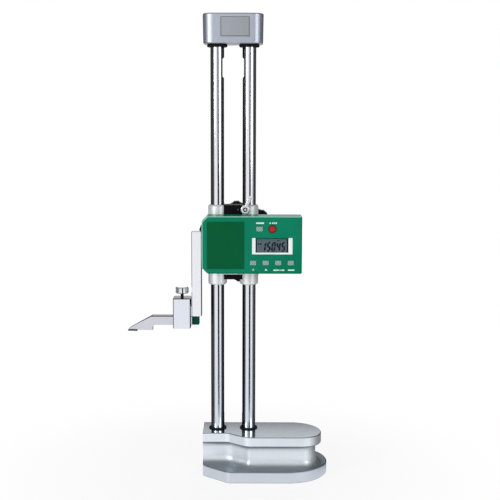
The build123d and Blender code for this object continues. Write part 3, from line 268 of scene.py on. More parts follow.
# %% World and floor
def pale_world(lit=0.48):
    """White to the camera and in reflections, gentler as a light."""
    scene.world = bpy.data.worlds.new("studio")
    scene.world.use_nodes = True
    graph = Graph(scene.world.node_tree)
    seen = graph.node("ShaderNodeLightPath", output="Is Camera Ray")
    mirrored = graph.node("ShaderNodeLightPath", output="Is Glossy Ray")
    through = graph.node("ShaderNodeLightPath", output="Is Transmission Ray")
    shown = seen + mirrored + through
    strength = lit + shown * (1 - lit)
    sky = graph.node("ShaderNodeBackground", {}, {"Color": (1, 1, 1, 1), "Strength": strength})
    graph.node("ShaderNodeOutputWorld", {}, {"Surface": sky})


def square_sheet(name, side):
    """A flat square, centred."""
    mesh = bpy.data.meshes.new(name)
    half = side / 2
    corners = [(-half, -half, 0), (half, -half, 0), (half, half, 0), (-half, half, 0)]
    mesh.from_pydata(corners, [], [(0, 1, 2, 3)])
    made = bpy.data.objects.new(name, mesh)
    scene.collection.objects.link(made)
    return made


def floor_finish(shadow_start=0.10, shadow_end=0.32, shadow_depth=0.16):
    """White paper round the gauge, which keeps its shadow, fading into the white background."""
    material = bpy.data.materials.new("floor_white")
    material.use_nodes = True
    graph = Graph(material.node_tree)
    seen = graph.node("ShaderNodeLightPath", output="Is Camera Ray")
    mirrored = graph.node("ShaderNodeLightPath", output="Is Glossy Ray")
    spot = graph.node("ShaderNodeTexCoord", output="Object")
    away = graph.node("ShaderNodeVectorMath", {"operation": "LENGTH"}, {0: spot}, "Value")
    near = graph.node(
        "ShaderNodeMapRange",
        {"interpolation_type": "SMOOTHSTEP"},
        {"Value": away, "From Min": shadow_start, "From Max": shadow_end, "To Min": 1, "To Max": 0},
    )
    paper = graph.node("ShaderNodeBsdfDiffuse", {}, {"Color": (0.93, 0.93, 0.93, 1)})
    glow = graph.node("ShaderNodeEmission", {}, {"Color": (1, 1, 1, 1), "Strength": 1.0})
    share = (seen + mirrored) * (1 - near * shadow_depth)
    mixed = graph.node("ShaderNodeMixShader", {}, {"Fac": share, 1: paper, 2: glow})
    graph.node("ShaderNodeOutputMaterial", {}, {"Surface": mixed})
    return material


pale_world()
floor_side = 12.0
floor = square_sheet("floor", floor_side)
floor.data.materials.append(floor_finish())
floor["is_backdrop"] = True
print("Side of the floor in metres:", floor_side)


# %% Cards round the gauge
def show_in_reflections(card, shade):
    """Give a card an even shade that only reflections show."""
    for ray in ("camera", "diffuse", "transmission", "shadow", "volume_scatter"):
        setattr(card, f"visible_{ray}", False)
    material = bpy.data.materials.new(card.name)
    material.use_nodes = True
    graph = Graph(material.node_tree)
    glow = graph.node("ShaderNodeEmission", {}, {"Color": (shade, shade, shade, 1), "Strength": 1.0})
    graph.node("ShaderNodeOutputMaterial", {}, {"Surface": glow})
    card.data.materials.append(material)
    card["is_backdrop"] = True


def stand_card(name, angles, foot, distance, height, shade):
    """A card bent to an L, seen by reflections only: its foot runs in to the gauge, and the rest
    stands up. It spans two angles, counted from the reader. Foot and distance are how far its
    inner edge and its fold are from the columns."""
    start, end = [
        Vector((math.sin(math.radians(angle)), -math.cos(math.radians(angle)), 0)) for angle in angles
    ]
    lift, top = Vector((0, 0, MM)), Vector((0, 0, height))
    floor_edge = [start * foot + lift, end * foot + lift]
    fold = [end * distance + lift, start * distance + lift]
    upper_edge = [end * distance + top, start * distance + top]
    mesh = bpy.data.meshes.new(name)
    mesh.from_pydata(floor_edge + fold + upper_edge, [], [(0, 1, 2, 3), (3, 2, 4, 5)])
    card = bpy.data.objects.new(name, mesh)
    scene.collection.objects.link(card)
    show_in_reflections(card, shade)


stand_card("card_left_pale", (-50, -62), foot=0.16, distance=0.80, height=1.2, shade=0.35)
stand_card("card_left", (-62, -165), foot=0.16, distance=0.75, height=1.2, shade=0.05)
stand_card("card_right_pale", (62, 80), foot=0.13, distance=0.80, height=1.2, shade=0.35)
stand_card("card_right", (80, 165), foot=0.13, distance=0.75, height=1.2, shade=0.05)
stand_card("card_reader", (2, 30), foot=0.22, distance=1.25, height=1.3, shade=0.02)
stand_card("card_back", (152, 208), foot=0.30, distance=0.50, height=0.18, shade=0.02)
ceiling = square_sheet("card_ceiling", 1.4)
ceiling.location = (0, -0.2, 1.5)
show_in_reflections(ceiling, shade=0.06)
cards = [made for made in scene.objects if made.name.startswith("card_")]
print("Cards that only reflections show:", len(cards))

# %% [markdown]
# Beside the pale world, three square softboxes light the gauge. The key lamp stands far to the
# left, because from nearer the middle the scriber's flat front mirrored it when the slider was
# at the top. The lamp behind the gauge only lights, so no column shows it as a bright spot.


# %% Lamps
def hang_lamp(name, place, size, power, mirrored=True):
    """A square softbox that faces the middle of the gauge."""
    lamp = bpy.data.objects.new(name, bpy.data.lights.new(name, "AREA"))
    scene.collection.objects.link(lamp)
    lamp.data.size = size
    lamp.data.energy = power
    lamp.location = place
    lamp.visible_glossy = mirrored
    aim = (cad_low + cad_high) / 2 - lamp.location
    lamp.rotation_euler = aim.to_track_quat("-Z", "Y").to_euler()


hang_lamp("key_lamp", (-1.15, -1.10, 0.66), size=0.6, power=9.2)
hang_lamp("fill_lamp", (0.95, -1.10, 0.55), size=0.6, power=3.9)
hang_lamp("back_lamp", (0.30, 1.40, 0.80), size=0.8, power=6, mirrored=False)
print("Lamps:", len(bpy.data.lights))

# %% [markdown]
# ## Metal finishes
#
# The columns are hardened, chromed and ground: a grinding wheel leaves very fine rings round
# them. Noise stretched the long way round gives rings, and they only disturb the roughness and
# a relief of a few micrometres, so that reflections stay sharp but aren't perfect. The flanks
# that face each other, beside the racks, are painted dark: a painted reflection. Low down the
# chrome is rougher, and its colour is painted duller and a little bluer, a painted reflection too.


# %% Ground chrome
def soft_step(graph, value, start, end):
    """1 below start, 0 above end, and smooth in between."""
    return graph.node(
        "ShaderNodeMapRange",
        {"interpolation_type": "SMOOTHSTEP"},
        {"Value": value, "From Min": start, "From Max": end, "To Min": 1, "To Max": 0},
    )


def ground_chrome(dark_start_share=0.45, dark_full_share=0.75, dull_below=0.06, bright_above=0.22):
    """Ground chrome of the columns. The shares of a column's radius say where the painted dark
    reflection on the inner flanks starts and where it is full. The painted duller, bluer
    reflection low down is even below one height and gone above the other."""
    graph, close = surface("ground_chrome", Metallic=1.0)
    low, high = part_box("right_column")
    radius = (high.y - low.y) / 2
    middle = high.x - radius
    dark_full, dark_start = middle - dark_full_share * radius, middle - dark_start_share * radius
    # The flanks that face each other get a painted dark reflection.
    oil_and_dark_reflection = soft_step(graph, abs(graph.axis("Object", "X")), dark_full, dark_start)
    # Low down, the chrome gets a painted duller, bluer reflection, and a higher roughness.
    low_down = soft_step(graph, graph.axis("Object", "Z"), dull_below, bright_above)
    rings = graph.noise(1.0, 3.0, stretch=(60, 60, 9000))
    smudge = graph.noise(35.0, 3.0)
    bright = graph.blend(smudge, (0.74, 0.76, 0.82, 1), (0.82, 0.84, 0.89, 1))
    # Colours of the painted reflections: duller and bluer low down, dark on the inner flanks.
    low_reflection_tone, dark_reflection_tone = (0.70, 0.76, 0.85, 1), (0.10, 0.105, 0.13, 1)
    return close(
        Base_Color=graph.blend(oil_and_dark_reflection, graph.blend(low_down, bright, low_reflection_tone), dark_reflection_tone),
        Roughness=0.075 + rings * 0.02 + smudge * 0.03 + low_down * 0.10,
        Normal=graph.bump(rings, strength=0.008, distance=0.00002),
    )


# %% [markdown]
# The arm, the clamp and the lever are satin chrome. Their flat faces were ground in one
# direction, so the grain runs along each piece.


# %% Satin chrome and plain steels
# Black of the screws' oxide, and of the painted shade on the arm, clamp, scriber and screws.
oxide_and_shade_black = (0.022, 0.024, 0.028, 1)


def satin_metal(
    name, shade, roughness, grain=(40, 2500, 2500), mottle=0.08, metallic=1.0, black=None
):
    """Ground metal: fine lines along one axis, and a slow change of tone. Where black says so,
    given the graph, the metal is painted black as shade."""
    graph, close = surface(name, Metallic=metallic)
    lines = graph.noise(1.0, 2.0, grain)
    slow = graph.noise(60.0, 2.0)
    darker = tuple(part * (1 - mottle) for part in shade)
    tone = graph.blend(slow, (*shade, 1), (*darker, 1))
    if black:
        tone = graph.blend(black(graph), tone, oxide_and_shade_black)
    return close(
        Base_Color=tone,
        Roughness=roughness + lines * 0.06,
        Normal=graph.bump(lines, strength=0.08, distance=0.00003),
    )


# %% [markdown]
# The top and the right side of the arm and the clamp are painted black as shade, and so are
# the thumbscrew's neck under its head and the upper margin of the scriber. The lock screw is
# painted black round a painted highlight in its middle.


# %% Where shade is painted black
# The top and right faces of the arm and the clamp are painted black as shade.
def on_top_and_right(graph, facing=0.6):
    """Faces of the arm and the clamp that look up or to the right."""
    upward = graph.axis("True Normal", "Z") > facing
    across = graph.axis("True Normal", "X") > facing
    return graph.node("ShaderNodeMath", {"operation": "MAXIMUM"}, {0: upward, 1: across})


# The thumbscrew's neck, under its head, is painted black as shade.
def on_the_neck(graph, head_height=0.0068):
    """The thumbscrew below its head."""
    return graph.axis("Object", "Z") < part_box("thumbscrew")[1].z - head_height


# The scriber's upper margin, its top face seen edge on, is painted black as shade.
def on_the_margin(graph, margin=0.0007):
    """The upper edge of the scriber."""
    return graph.axis("Object", "Z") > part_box("scriber")[1].z - margin


# The lock screw's head is painted black round a painted highlight in its middle.
def round_the_socket(graph, bright_radius=0.0013):
    """The lock screw's head outside its socket."""
    low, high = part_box("lock_screw")
    centre = (low + high) / 2
    x, z = graph.axis("Object", "X") - centre.x, graph.axis("Object", "Z") - centre.z
    return (x * x + z * z) ** 0.5 > bright_radius


# %% [markdown]
# ## The cast base
#
# The base is one casting with two characters. Its top was ground flat and mirrors the columns.
# Everything below was cast in sand and then finished in silver enamel, and the groove keeps the
# sand's grain. The height above the floor and the way the surface faces tell these apart. The
# groove's two coves, under the lip and on the flange, get painted shade, and the middle between
# them is left light. The flange below the groove is also painted a darker grey, as shade. The
# stops say how much painted shade lies at which share of the groove's height.


# %% Cast and ground base
groove_bottom, groove_top = 0.0125, 0.0356
ground_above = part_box("base_casting")[1].z - 0.0022
# Painted shade across the groove, from the flange at 0 to the lip at 1.
groove_shade_stops = (
    (0.00, 0.75),
    (0.10, 0.60),
    (0.24, 0.12),
    (0.45, 0.00),
    (0.72, 0.05),
    (0.86, 0.35),
    (1.00, 0.85),
)
print("Height of the ground top in millimetres:", round(ground_above / MM, 1))


def cast_base(level=0.9, upright=0.2):
    """Ground top, machined rims, and a cast groove between them. A face counts as level or
    upright by the upward part of its normal."""
    graph, close = surface("cast_base")
    height = graph.axis("Object", "Z")
    facing_up = graph.axis("Normal", "Z")
    top = (facing_up > level) * (height > ground_above)
    rims = (height < groove_bottom) + (height > groove_top)
    machined = (abs(facing_up) < upright) * rims
    grain = graph.noise(520.0, 4.0)
    fine = graph.noise(1800.0, 2.0)
    lumps = graph.noise(140.0, 2.0)
    swirl = graph.noise(1.0, 2.0, stretch=(900, 60, 60))
    patches = graph.noise(38.0, 3.0)
    # The flange below the groove: the lip's enamel, painted darker as shade.
    flange_shade_grey = (0.66, 0.71, 0.79, 1)
    # Colour of the painted shade in the coves and on the flange's top.
    groove_shade = (0.13, 0.155, 0.18, 1)
    ground_iron = (0.50, 0.55, 0.61, 1)
    enamel = graph.blend(patches, (0.91, 0.96, 1.0, 1), (0.81, 0.87, 0.95, 1))
    bare_grain = graph.ramp(grain, (0.42, 0.0), (0.66, 0.45))
    speckled = graph.blend(bare_grain, enamel, (0.90, 0.95, 1.0, 1))
    up_the_groove = (height - groove_bottom) * (1 / (groove_top - groove_bottom))
    # Painted shade by height, kept off the machined rims and the ground top.
    painted_shade = graph.ramp(up_the_groove, *groove_shade_stops) * (1 - machined) * (1 - top)
    cast = graph.blend(painted_shade, speckled, groove_shade)
    rim_enamel = graph.blend(height < groove_bottom, enamel, flange_shade_grey)
    sides = graph.blend(machined, cast, rim_enamel)
    rough_cast = 0.40 + fine * 0.12
    relief = (grain * 1.2 + fine * 0.3 + lumps * 5.0) * (1 - top) * (1 - machined * 0.75)
    return close(
        Base_Color=graph.blend(top, sides, ground_iron),
        Metallic=0.75 + top * 0.25,
        Roughness=rough_cast * (1 - top) + top * (0.13 + swirl * 0.05),
        Specular_IOR_Level=0.35,
        Normal=graph.bump(relief, strength=0.35, distance=0.00022),
    )


# %% [markdown]
# ## Enamel, rubber and plastics
#
# The cap has the same silver enamel without the sand's grain: metal flakes in clear lacquer.
# Rubber is nearly black and dull, with a faint bloom. Moulded plastic has a very fine grain.


# %% Silver enamel
def silver_enamel(name, shade, roughness, sparkle=1.12):
    """Metal flakes in clear lacquer, the brightest of them sparkle times as bright as the shade."""
    graph, close = surface(name, Coat_Roughness=0.12)
    flakes = graph.noise(4200.0, 1.0)
    cloud = graph.noise(30.0, 2.0)
    bright = tuple(min(1, part * sparkle) for part in shade)
    return close(
        Base_Color=graph.blend(flakes, (*shade, 1), (*bright, 1)),
        Metallic=0.86,
        Roughness=roughness + flakes * 0.08 + cloud * 0.04,
        Coat_Weight=0.05 + cloud * 0.05,
        Normal=graph.bump(flakes, strength=0.12, distance=0.00004),
    )


# %% Rubber, paint and plastic
def dull_solid(name, shade, roughness, grain=1400.0, relief=0.00004, fading=0.012, rim=None):
    """A solid colour with grain in its relief and a little fading, and for the round key a
    darker rim of painted shade."""
    graph, close = surface(name, Specular_IOR_Level=0.06)
    texture = graph.noise(grain, 3.0)
    slow = graph.noise(70.0, 2.0)
    faded = tuple(part + (0.5 - part) * fading for part in shade)
    tone = graph.blend(slow, (*shade, 1), (*faded, 1))
    # The round key's rim gets painted shade.
    if rim:
        tone = graph.blend(unshaded_middle(graph, "key_zero"), (*rim, 1), tone)
    return close(
        Base_Color=tone,
        Roughness=roughness + texture * 0.12,
        Normal=graph.bump(texture, strength=0.4, distance=relief),
    )


# Where this falls to 0, the round key's rim gets painted shade.
def unshaded_middle(graph, key, bright_share=0.45, shaded_share=0.80):
    """1 in the middle of a round key and 0 at its rim. The shares are of its radius."""
    low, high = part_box(key)
    x = graph.axis("Object", "X") - (low.x + high.x) / 2
    z = graph.axis("Object", "Z") - (low.z + high.z) / 2
    radius = (high.x - low.x) / 2
    return soft_step(graph, (x * x + z * z) ** 0.5, bright_share * radius, shaded_share * radius)


def glossy_moulding(name, shade, light, roughness=0.24, painted_highlight=None, painted_shade=None):
    """Moulded plastic with a soft gloss; it is lighter where the mould's face was polished.
    Its bevels can get a painted highlight at the upper left and painted shade at the lower right."""
    graph, close = surface(name, Coat_Roughness=0.18, Specular_IOR_Level=0.06)
    pores = graph.noise(2600.0, 2.0)
    drift = graph.noise(22.0, 2.0)
    tone = graph.blend(graph.ramp(drift, (0.35, 0.0), (0.7, 1.0)), (*shade, 1), (*light, 1))
    # A painted highlight on the upper-left bevels and painted shade on the lower-right ones.
    if painted_highlight:
        upper_left, lower_right = bevels(graph)
        tone = graph.blend(upper_left, tone, (*painted_highlight, 1))
        tone = graph.blend(lower_right, tone, (*painted_shade, 1))
    return close(
        Base_Color=tone,
        Roughness=roughness + pores * 0.10,
        Coat_Weight=0.01 + drift * 0.01,
        Normal=graph.bump(pores, strength=0.25, distance=0.00003),
    )


def bevels(graph, flat=-0.95, square=-0.3, slant=0.3):
    """Faces between a flat front and a square side: those at the upper left, and those at the
    lower right."""
    across, depth, upward = [graph.axis("True Normal", letter) for letter in "XYZ"]
    bevel = (depth < square) * (depth > flat)
    return bevel * (upward - across > slant), bevel * (across - upward > slant)


# %% [markdown]
# Screws and gears come off a lathe or a hobbing machine, which leaves fine marks, and oil stays
# on them in patches. They are too small here for more than one noise for each.


# %% Turned steel
def turned_steel(name, shade, roughness, under_oil=0.55):
    """Screws and gears with marks from turning. Patches of oil leave only the share under_oil of
    the shade's brightness."""
    graph, close = surface(name, Metallic=1.0)
    marks = graph.noise(1600.0, 3.0)
    oil = graph.noise(240.0, 3.0)
    oil_and_dark_reflection = tuple(part * under_oil for part in shade)
    patches = graph.ramp(oil, (0.4, 0.0), (0.75, 1.0))
    return close(
        Base_Color=graph.blend(patches, (*shade, 1), (*oil_and_dark_reflection, 1)),
        Roughness=roughness + marks * 0.15,
        Normal=graph.bump(marks, strength=0.2, distance=0.00003),
    )


# %% [markdown]
# ## Display and keys
#
# A liquid crystal display is dark digits on a mirror with a grey film. The keys are soft rubber
# with a moulded grid of small squares, which the photograph shows as a lighter pattern. Two sine
# waves, one across and one upward, make the grid; their rates are in radians a metre.


# %% Display film, lens and keys
def display_film():
    """Grey film over the display's mirror, a little uneven."""
    graph, close = surface("display_film", Specular_IOR_Level=0.3)
    film = graph.noise(900.0, 2.0)
    slow = graph.noise(90.0, 2.0)
    tone = graph.blend(slow, (0.105, 0.155, 0.180, 1), (0.125, 0.165, 0.200, 1))
    return close(Base_Color=tone, Roughness=0.35 + film * 0.1)


def clear_lens():
    """A clear window with a trace of dust, which lets nearly everything through."""
    graph, close = surface("clear_lens", IOR=1.49, Specular_IOR_Level=0.15)
    dust = graph.noise(700.0, 2.0)
    return close(
        Base_Color=(0.03, 0.035, 0.035, 1),
        Roughness=0.04 + dust * 0.05,
        Alpha=0.04 + dust * 0.02,
    )


def squared_rubber(name, shade, light, across_rate=2600, upward_rate=2300):
    """Key rubber with a grid of squares a little over a millimetre wide."""
    graph, close = surface(name, Specular_IOR_Level=0.3)
    across = (graph.axis("Object", "X") * across_rate).sine()
    upward = (graph.axis("Object", "Z") * upward_rate).sine()
    squares = (across * upward) * 0.5 + 0.5
    grain = graph.noise(1500.0, 2.0)
    return close(
        Base_Color=graph.blend(squares, (*shade, 1), (*light, 1)),
        Roughness=0.45 + grain * 0.15,
        Normal=graph.bump(squares, strength=0.35, distance=0.00008),
    )


# %% [markdown]
# ## The finishes of this gauge
#
# The functions above know how a finish is built. Here each finish gets its colour, whose parts
# run from 0 to 1 in linear light, and its roughness. A metal's grain is three numbers, which
# say how fine it is along each axis: lines run along the axes with small numbers.

# %% Metals
chrome = ground_chrome()
along_the_arm = (1200, 1200, 30)
along_the_blade = (40, 2500, 2500)
every_way = (900, 900, 900)
satin = satin_metal(
    "satin_chrome", (0.87, 0.89, 0.93), 0.13, along_the_arm, mottle=0.05, black=on_top_and_right
)
# The clamp is the arm's satin chrome, painted a little darker and bluer as shade.
shaded_clamp_satin = satin_metal(
    "clamp_chrome", (0.79, 0.82, 0.91), 0.13, along_the_arm, mottle=0.05, black=on_top_and_right
)
knob = satin_metal("polished_knob", (0.90, 0.93, 0.97), 0.05, every_way, black=on_the_neck)
blade = satin_metal(
    "ground_steel", (0.66, 0.67, 0.74), 0.14, along_the_blade, black=on_the_margin
)
sleeve = satin_metal("sleeve_metal", (0.95, 0.98, 1.0), 0.38, every_way, metallic=0.45)
rack_steel = satin_metal("milled_steel", (0.10, 0.10, 0.11), 0.42, grain=(2500, 40, 2500))
lever_chrome = satin_metal("lever_chrome", (0.84, 0.86, 0.89), 0.12, every_way, metallic=0.8)
# The lock screw: a painted highlight in the middle, painted black round it.
screw_eye = satin_metal(
    "socket_steel", (0.82, 0.84, 0.87), 0.20, every_way, black=round_the_socket
)
carbide = satin_metal("carbide", (0.05, 0.052, 0.058), 0.30, grain=(3000, 3000, 3000))
bronze = satin_metal("bronze", (0.60, 0.42, 0.20), 0.30, grain=(60, 60, 2600))
nickel = satin_metal("nickel", (0.66, 0.62, 0.54), 0.22)
steel = turned_steel("turned_steel", (0.48, 0.49, 0.51), 0.26)
black_steel = turned_steel("oxide_and_shade_black", (0.05, 0.05, 0.055), 0.30)
iron = cast_base()
cap_enamel = silver_enamel("cap_enamel", (0.50, 0.535, 0.62), 0.40)
print("Materials made so far:", len(bpy.data.materials))

# %% [markdown]
# The plastics differ in colour and gloss only, so two functions make nearly all of them. The
# housing alone has a painted highlight on its upper-left bevels and painted shade on its
# lower-right ones, and the round key alone has painted shade round its rim.

# %% Plastics, paint and rubber
rubber = dull_solid("black_rubber", (0.012, 0.012, 0.014), 0.50)
black_paint = dull_solid("black_paint", (0.004, 0.004, 0.006), 0.40, grain=900.0)
switch_black = dull_solid("switch_plastic", (0.02, 0.02, 0.022), 0.42)
strip = dull_solid("contact_strip", (0.45, 0.30, 0.32), 0.55)
board = glossy_moulding("solder_mask", (0.01, 0.12, 0.04), (0.02, 0.17, 0.06))
film_disc = glossy_moulding("graduated_film", (0.20, 0.21, 0.22), (0.30, 0.31, 0.32))
# The housing's bevels: a painted highlight at the upper left, painted shade at the lower right.
green = glossy_moulding(
    "green_moulding",
    (0.002, 0.185, 0.098),
    (0.005, 0.225, 0.128),
    painted_highlight=(0.30, 0.62, 0.52),
    painted_shade=(0.001, 0.055, 0.030),
)
panel = glossy_moulding("dark_green_panel", (0.001, 0.098, 0.032), (0.001, 0.112, 0.038))
cap_green = dull_solid("green_rubber", (0.001, 0.062, 0.042), 0.45)
frame_white = dull_solid("white_plastic", (0.90, 0.97, 0.95), 0.38, relief=0.00002)
wheel = glossy_moulding("black_phenolic", (0.010, 0.010, 0.012), (0.018, 0.018, 0.020), 0.16)
film = display_film()
lens = clear_lens()
grey_key = squared_rubber("grey_key", (0.04, 0.17, 0.14), (0.44, 0.62, 0.58))
# The red key's rim colour is painted shade.
red_key = dull_solid(
    "red_key", (0.40, 0.030, 0.022), 0.42, grain=1800.0, rim=(0.08, 0.022, 0.014)
)
print("Materials made so far:", len(bpy.data.materials))

# %% [markdown]
# ## Giving each CAD piece its finish
#
# Each CAD piece brings one material slot per record entry. The finish goes into that slot, so
# the mesh stays as it was loaded.

# %% Finish of each CAD piece
finishes = {
    chrome: ["left_column", "right_column"],
    satin: ["drop_arm"],
    shaded_clamp_satin: ["scriber_clamp"],
    screw_eye: ["lock_screw"],
    knob: ["thumbscrew"],
    blade: ["scriber"],
    sleeve: ["slider_body", "coin_cell"],
    rack_steel: ["left_rack", "right_rack", "stop_pin"],
    lever_chrome: ["lock_lever"],
    carbide: ["carbide_tip"],
    bronze: ["slider_bushes", "pinion_bush", "brake_pad", "clamp_pad"],
    nickel: ["battery_contact"],
    steel: ["drive_pinion", "encoder_pinion"],
    black_steel: [
        "column_screws",
        "cap_set_screws",
        "wheel_screw",
        "board_screws",
        "housing_screws",
        "cover_screws",
        "arm_screws",
    ],
    iron: ["base_casting"],
    cap_enamel: ["top_cap"],
    rubber: ["lower_buffers", "upper_buffers"],
    black_paint: ["bottom_bridge", "top_bridge"],
    switch_black: ["key_switches", "encoder_head", "battery_holder"],
    strip: ["lcd_connectors"],
    board: ["circuit_board"],
    film_disc: ["encoder_disc"],
    green: ["rear_shell", "front_cover", "battery_door"],
    panel: ["face_panel"],
    cap_green: ["shank_cap"],
    frame_white: ["display_frame"],
    wheel: ["hand_wheel"],
    film: ["lcd_panel"],
    lens: ["display_lens"],
    grey_key: ["key_power", "key_plus", "key_set", "key_unit", "key_hold"],
    red_key: ["key_zero"],
}
for finish, names in finishes.items():
    for name in names:
        for slot in nodes[name].material_slots:
            slot.material = finish
dressed = sum(len(names) for names in finishes.values())
print("CAD pieces with a finish:", dressed, "of", len(nodes))

# %% [markdown]
# ## Thin printed and etched pieces
#
# The digits and the signs are thin: ink a few hundredths of a millimetre thick. Each is drawn
# as flat outlines, seen from the front, and then given that thickness. One helper makes a mesh
# out of any number of outlines, so a whole row of signs is one piece. Ink is bedded a hundredth
# of a millimetre into what it lies on, so that no gap shows between them.


# %% Flat pieces that face the reader
def printed(name, outlines, depth, thickness, material, body):
    """Plates with these outlines (x, z in millimetres), their back at depth, facing the reader."""
    mesh = bpy.data.meshes.new(name)
    shape = bmesh.new()
    for outline in outlines:
        corners = [shape.verts.new(Vector((x, depth, z)) * MM) for x, z in outline]
        shape.faces.new(corners)
    bmesh.ops.recalc_face_normals(shape, faces=shape.faces)
    raised = bmesh.ops.extrude_face_region(shape, geom=list(shape.faces))["geom"]
    lifted = [part for part in raised if isinstance(part, bmesh.types.BMVert)]
    bmesh.ops.translate(shape, verts=lifted, vec=Vector((0, -thickness, 0)) * MM)
    bmesh.ops.recalc_face_normals(shape, faces=shape.faces)
    shape.to_mesh(mesh)
    shape.free()
    mesh.materials.append(material)
    piece = bpy.data.objects.new(name, mesh)
    scene.collection.objects.link(piece)
    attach(piece, body)


def bar(left, bottom, width, height):
    """Outline of an upright rectangle."""
    right, top = left + width, bottom + height
    return [(left, bottom), (right, bottom), (right, top), (left, top)]


def triangle(left, bottom, width, height, tip):
    """Outline of a triangle whose tip stands that far from its left corner."""
    return [(left, bottom), (left + width, bottom), (left + tip, bottom + height)]


bedding = 0.01

# %% [markdown]
# ## The reading
#
# A seven-segment digit has three level and four upright segments, each a stretched hexagon. A
# digit is a word over their letters, from a at the top, clockwise, to g in the middle. The
# display leans its digits, which is a shear: what is higher moves further right.


# %% Seven-segment digits
segment_words = {"0": "abcdef", "1": "bc", "4": "bcfg", "5": "acdfg"}
digit_width, digit_height, stroke, lean = 4.2, 10.0, 1.65, 0.15
segment_gap = 0.12


def hexagon(centre_x, centre_z, length, thick, upright):
    """A segment: a bar with pointed ends."""
    half, side = length / 2, thick / 2
    upper = [(-half, 0), (-half + side, side), (half - side, side)]
    points = upper + [(-x, -z) for x, z in upper]
    return [
        (centre_x + (z if upright else x), centre_z + (x if upright else z)) for x, z in points
    ]


def digit(letter, left, bottom):
    """Outlines of one digit, leaning right."""
    wide, high = digit_width - stroke, (digit_height - stroke) / 2
    places = {
        "a": (wide / 2, 2 * high, False),
        "b": (wide, 1.5 * high, True),
        "c": (wide, 0.5 * high, True),
        "d": (wide / 2, 0, False),
        "e": (0, 0.5 * high, True),
        "f": (0, 1.5 * high, True),
        "g": (wide / 2, high, False),
    }
    outlines = []
    for segment in segment_words[letter]:
        x, z, upright = places[segment]
        length = (high if upright else wide) - segment_gap
        outlines.append(hexagon(x, z, length, stroke, upright))
    base = bottom + stroke / 2
    return [[(left + x + z * lean, base + z) for x, z in points] for points in outlines]


# %% Reading and small marks on the display
lcd_left, lcd_front, lcd_bottom = [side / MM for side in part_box("lcd_panel")[0]]
digits_left, digits_bottom = lcd_left + 7.85, lcd_bottom + 1.25
digit_pitch, point = 4.86, 0.8
marks = []
for place, letter in enumerate("15045"):
    marks += digit(letter, digits_left + place * digit_pitch, digits_bottom)
marks.append(bar(digits_left + 3 * digit_pitch - point, digits_bottom, point, point))
mode_row, mode_height = lcd_bottom + 8.35, 1.5
for inset, width in ((3.55, 1.6), (5.85, 1.5)):
    marks.append(bar(lcd_left + inset, mode_row, width, mode_height))
unit_left, unit_row, unit_width, unit_height = lcd_left + 22.95, lcd_bottom + 11.95, 2.6, 0.8
marks.append(bar(unit_left, unit_row, unit_width, unit_height))
display_ink = 0.05
ink_blue = dull_solid("display_ink", (0.004, 0.010, 0.026), 0.40)
printed("reading", marks, lcd_front + bedding, display_ink, ink_blue, "slider")
print("Outlines in the reading:", len(marks))

# %% [markdown]
# The sides of the display's window shade the film at its left and right, and that shade is
# painted: each edge is one more thin dark bar on the panel, because a bar keeps a sharp side at
# any distance.

# %% Painted shade at the display's edges
edge_width, edge_height, edge_insets = 1.6, 14.6, (1.05, 32.65)
edge_bottom = lcd_bottom - 0.35
edges = [bar(lcd_left + inset, edge_bottom, edge_width, edge_height) for inset in edge_insets]
# Painted shade where the window's sides fall on the display.
edge_shade_black = dull_solid("display_edge", (0.010, 0.016, 0.016), 0.40)
printed("display_edges", edges, lcd_front + bedding, display_ink, edge_shade_black, "slider")
print("The display's front lies at", round(lcd_front, 2))

# %% [markdown]
# ## Signs beside the keys
#
# The signs are pale ink on the green cover: bars, two triangles and a cross. They stand where
# a key's name would be, without any words. Each row keeps its distance from the keys, and each
# sign its place beside its own key.

# %% Signs on the cover
keys = ("power", "zero", "plus", "set", "unit", "hold")
key_left = {key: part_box("key_" + key)[0].x / MM for key in keys}
upper_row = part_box("key_power")[1].z / MM + 1.75
lower_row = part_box("key_plus")[0].z / MM - 4.75
upper_height, lower_height, nudge = 1.5, 1.3, 0.1
signs = [
    bar(key_left["power"] + 1.0, upper_row, 7.7, upper_height),
    triangle(key_left["zero"] + 1.7, upper_row + nudge, width=2.0, height=1.8, tip=1.0),
    triangle(key_left["set"] + 3.3, lower_row + 2 * nudge, width=2.8, height=2.1, tip=0.9),
    bar(key_left["hold"] + 1.3, lower_row + nudge, 6.6, lower_height),
]
dash_left, dash_pitch, dash_width = key_left["zero"] + 4.7, 1.8, 1.2
for dash in range(3):
    signs.append(bar(dash_left + dash_pitch * dash, upper_row + nudge, dash_width, upper_height))
for inset, width in ((-0.7, 5.4), (5.5, 1.0), (7.3, 2.9)):
    signs.append(bar(key_left["unit"] + inset, lower_row, width, lower_height))
cross_left, cross_bottom = key_left["plus"] + 3.4, lower_row + 2 * nudge
cross_arm, cross_stroke = 1.8, 0.8
cross_inset = (cross_arm - cross_stroke) / 2
signs.append(bar(cross_left + cross_inset, cross_bottom, cross_stroke, cross_arm))
signs.append(bar(cross_left, cross_bottom + cross_inset, cross_arm, cross_stroke))
cover_front, sign_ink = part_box("front_cover")[0].y / MM, 0.04
white_ink = dull_solid("white_ink", (0.72, 0.95, 0.84), 0.45)
printed("key_signs", signs, cover_front + bedding, sign_ink, white_ink, "slider")
print("Signs beside the keys:", len(signs))

# %% [markdown]
# ## The bare plate on the cap
#
# The cap carries a small plate in a shallow recess. It is left bare: satin metal with a thin
# etched line round its edge. The line is four narrow bars of dark ink on the plate.

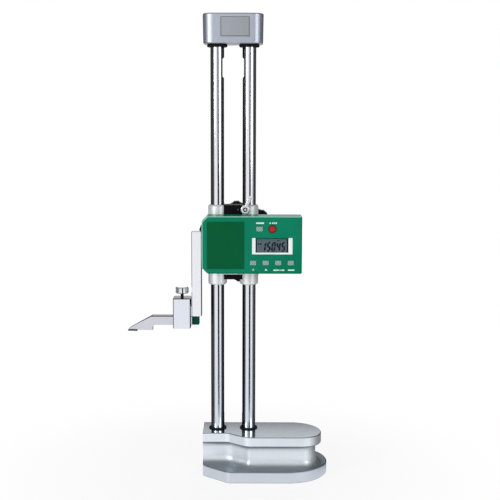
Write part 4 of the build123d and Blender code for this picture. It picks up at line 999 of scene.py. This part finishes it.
# %% Plate on the cap
cap_low, cap_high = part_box("top_cap")
plate_width, plate_height, plate_corner = 29.8, 20.4, 0.8
plate_aside, plate_raised = 2.0, 6.1
plate_left = (cap_low.x + cap_high.x) / 2 / MM + plate_aside - plate_width / 2
plate_bottom = cap_low.z / MM + plate_raised
recess, plate_thickness = 0.30, 0.25
line_inset, line_width, line_ink = 0.7, 0.45, 0.04
plate_metal = satin_metal("plate_metal", (0.52, 0.56, 0.60), 0.30, along_the_blade)


def rounded(left, bottom, width, height, radius, steps=6):
    """Outline of a rectangle with round corners."""
    points = []
    for corner_x, corner_z, start in (
        (left + width - radius, bottom + height - radius, 0),
        (left + radius, bottom + height - radius, 90),
        (left + radius, bottom + radius, 180),
        (left + width - radius, bottom + radius, 270),
    ):
        for step in range(steps + 1):
            angle = math.radians(start + 90 * step / steps)
            x, z = radius * math.cos(angle), radius * math.sin(angle)
            points.append((corner_x + x, corner_z + z))
    return points


plate_back = cap_low.y / MM + recess
outline = rounded(plate_left, plate_bottom, plate_width, plate_height, plate_corner)
printed("cap_plate", [outline], plate_back, plate_thickness, plate_metal, "base")
inner_left, inner_bottom = plate_left + line_inset, plate_bottom + line_inset
inner_width, inner_height = plate_width - 2 * line_inset, plate_height - 2 * line_inset
border = [
    bar(inner_left, inner_bottom, inner_width, line_width),
    bar(inner_left, inner_bottom + inner_height - line_width, inner_width, line_width),
    bar(inner_left, inner_bottom, line_width, inner_height),
    bar(inner_left + inner_width - line_width, inner_bottom, line_width, inner_height),
]
line_back = plate_back - plate_thickness + bedding
etched = dull_solid("etched_line", (0.035, 0.04, 0.055), 0.5)
printed("plate_lines", border, line_back, line_ink, etched, "base")
print("Plate's left and bottom edge:", round(plate_left, 2), round(plate_bottom, 2))

# %% [markdown]
# ## Size
#
# Last, the script prints how much larger the dressed gauge is than the CAD model's box, in
# millimetres.

# %% Sizes
low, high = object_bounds()
growth = [round(side / MM, 2) for side in (*(cad_low - low), *(high - cad_high))]
print("Growth over the CAD box in millimetres:", growth)
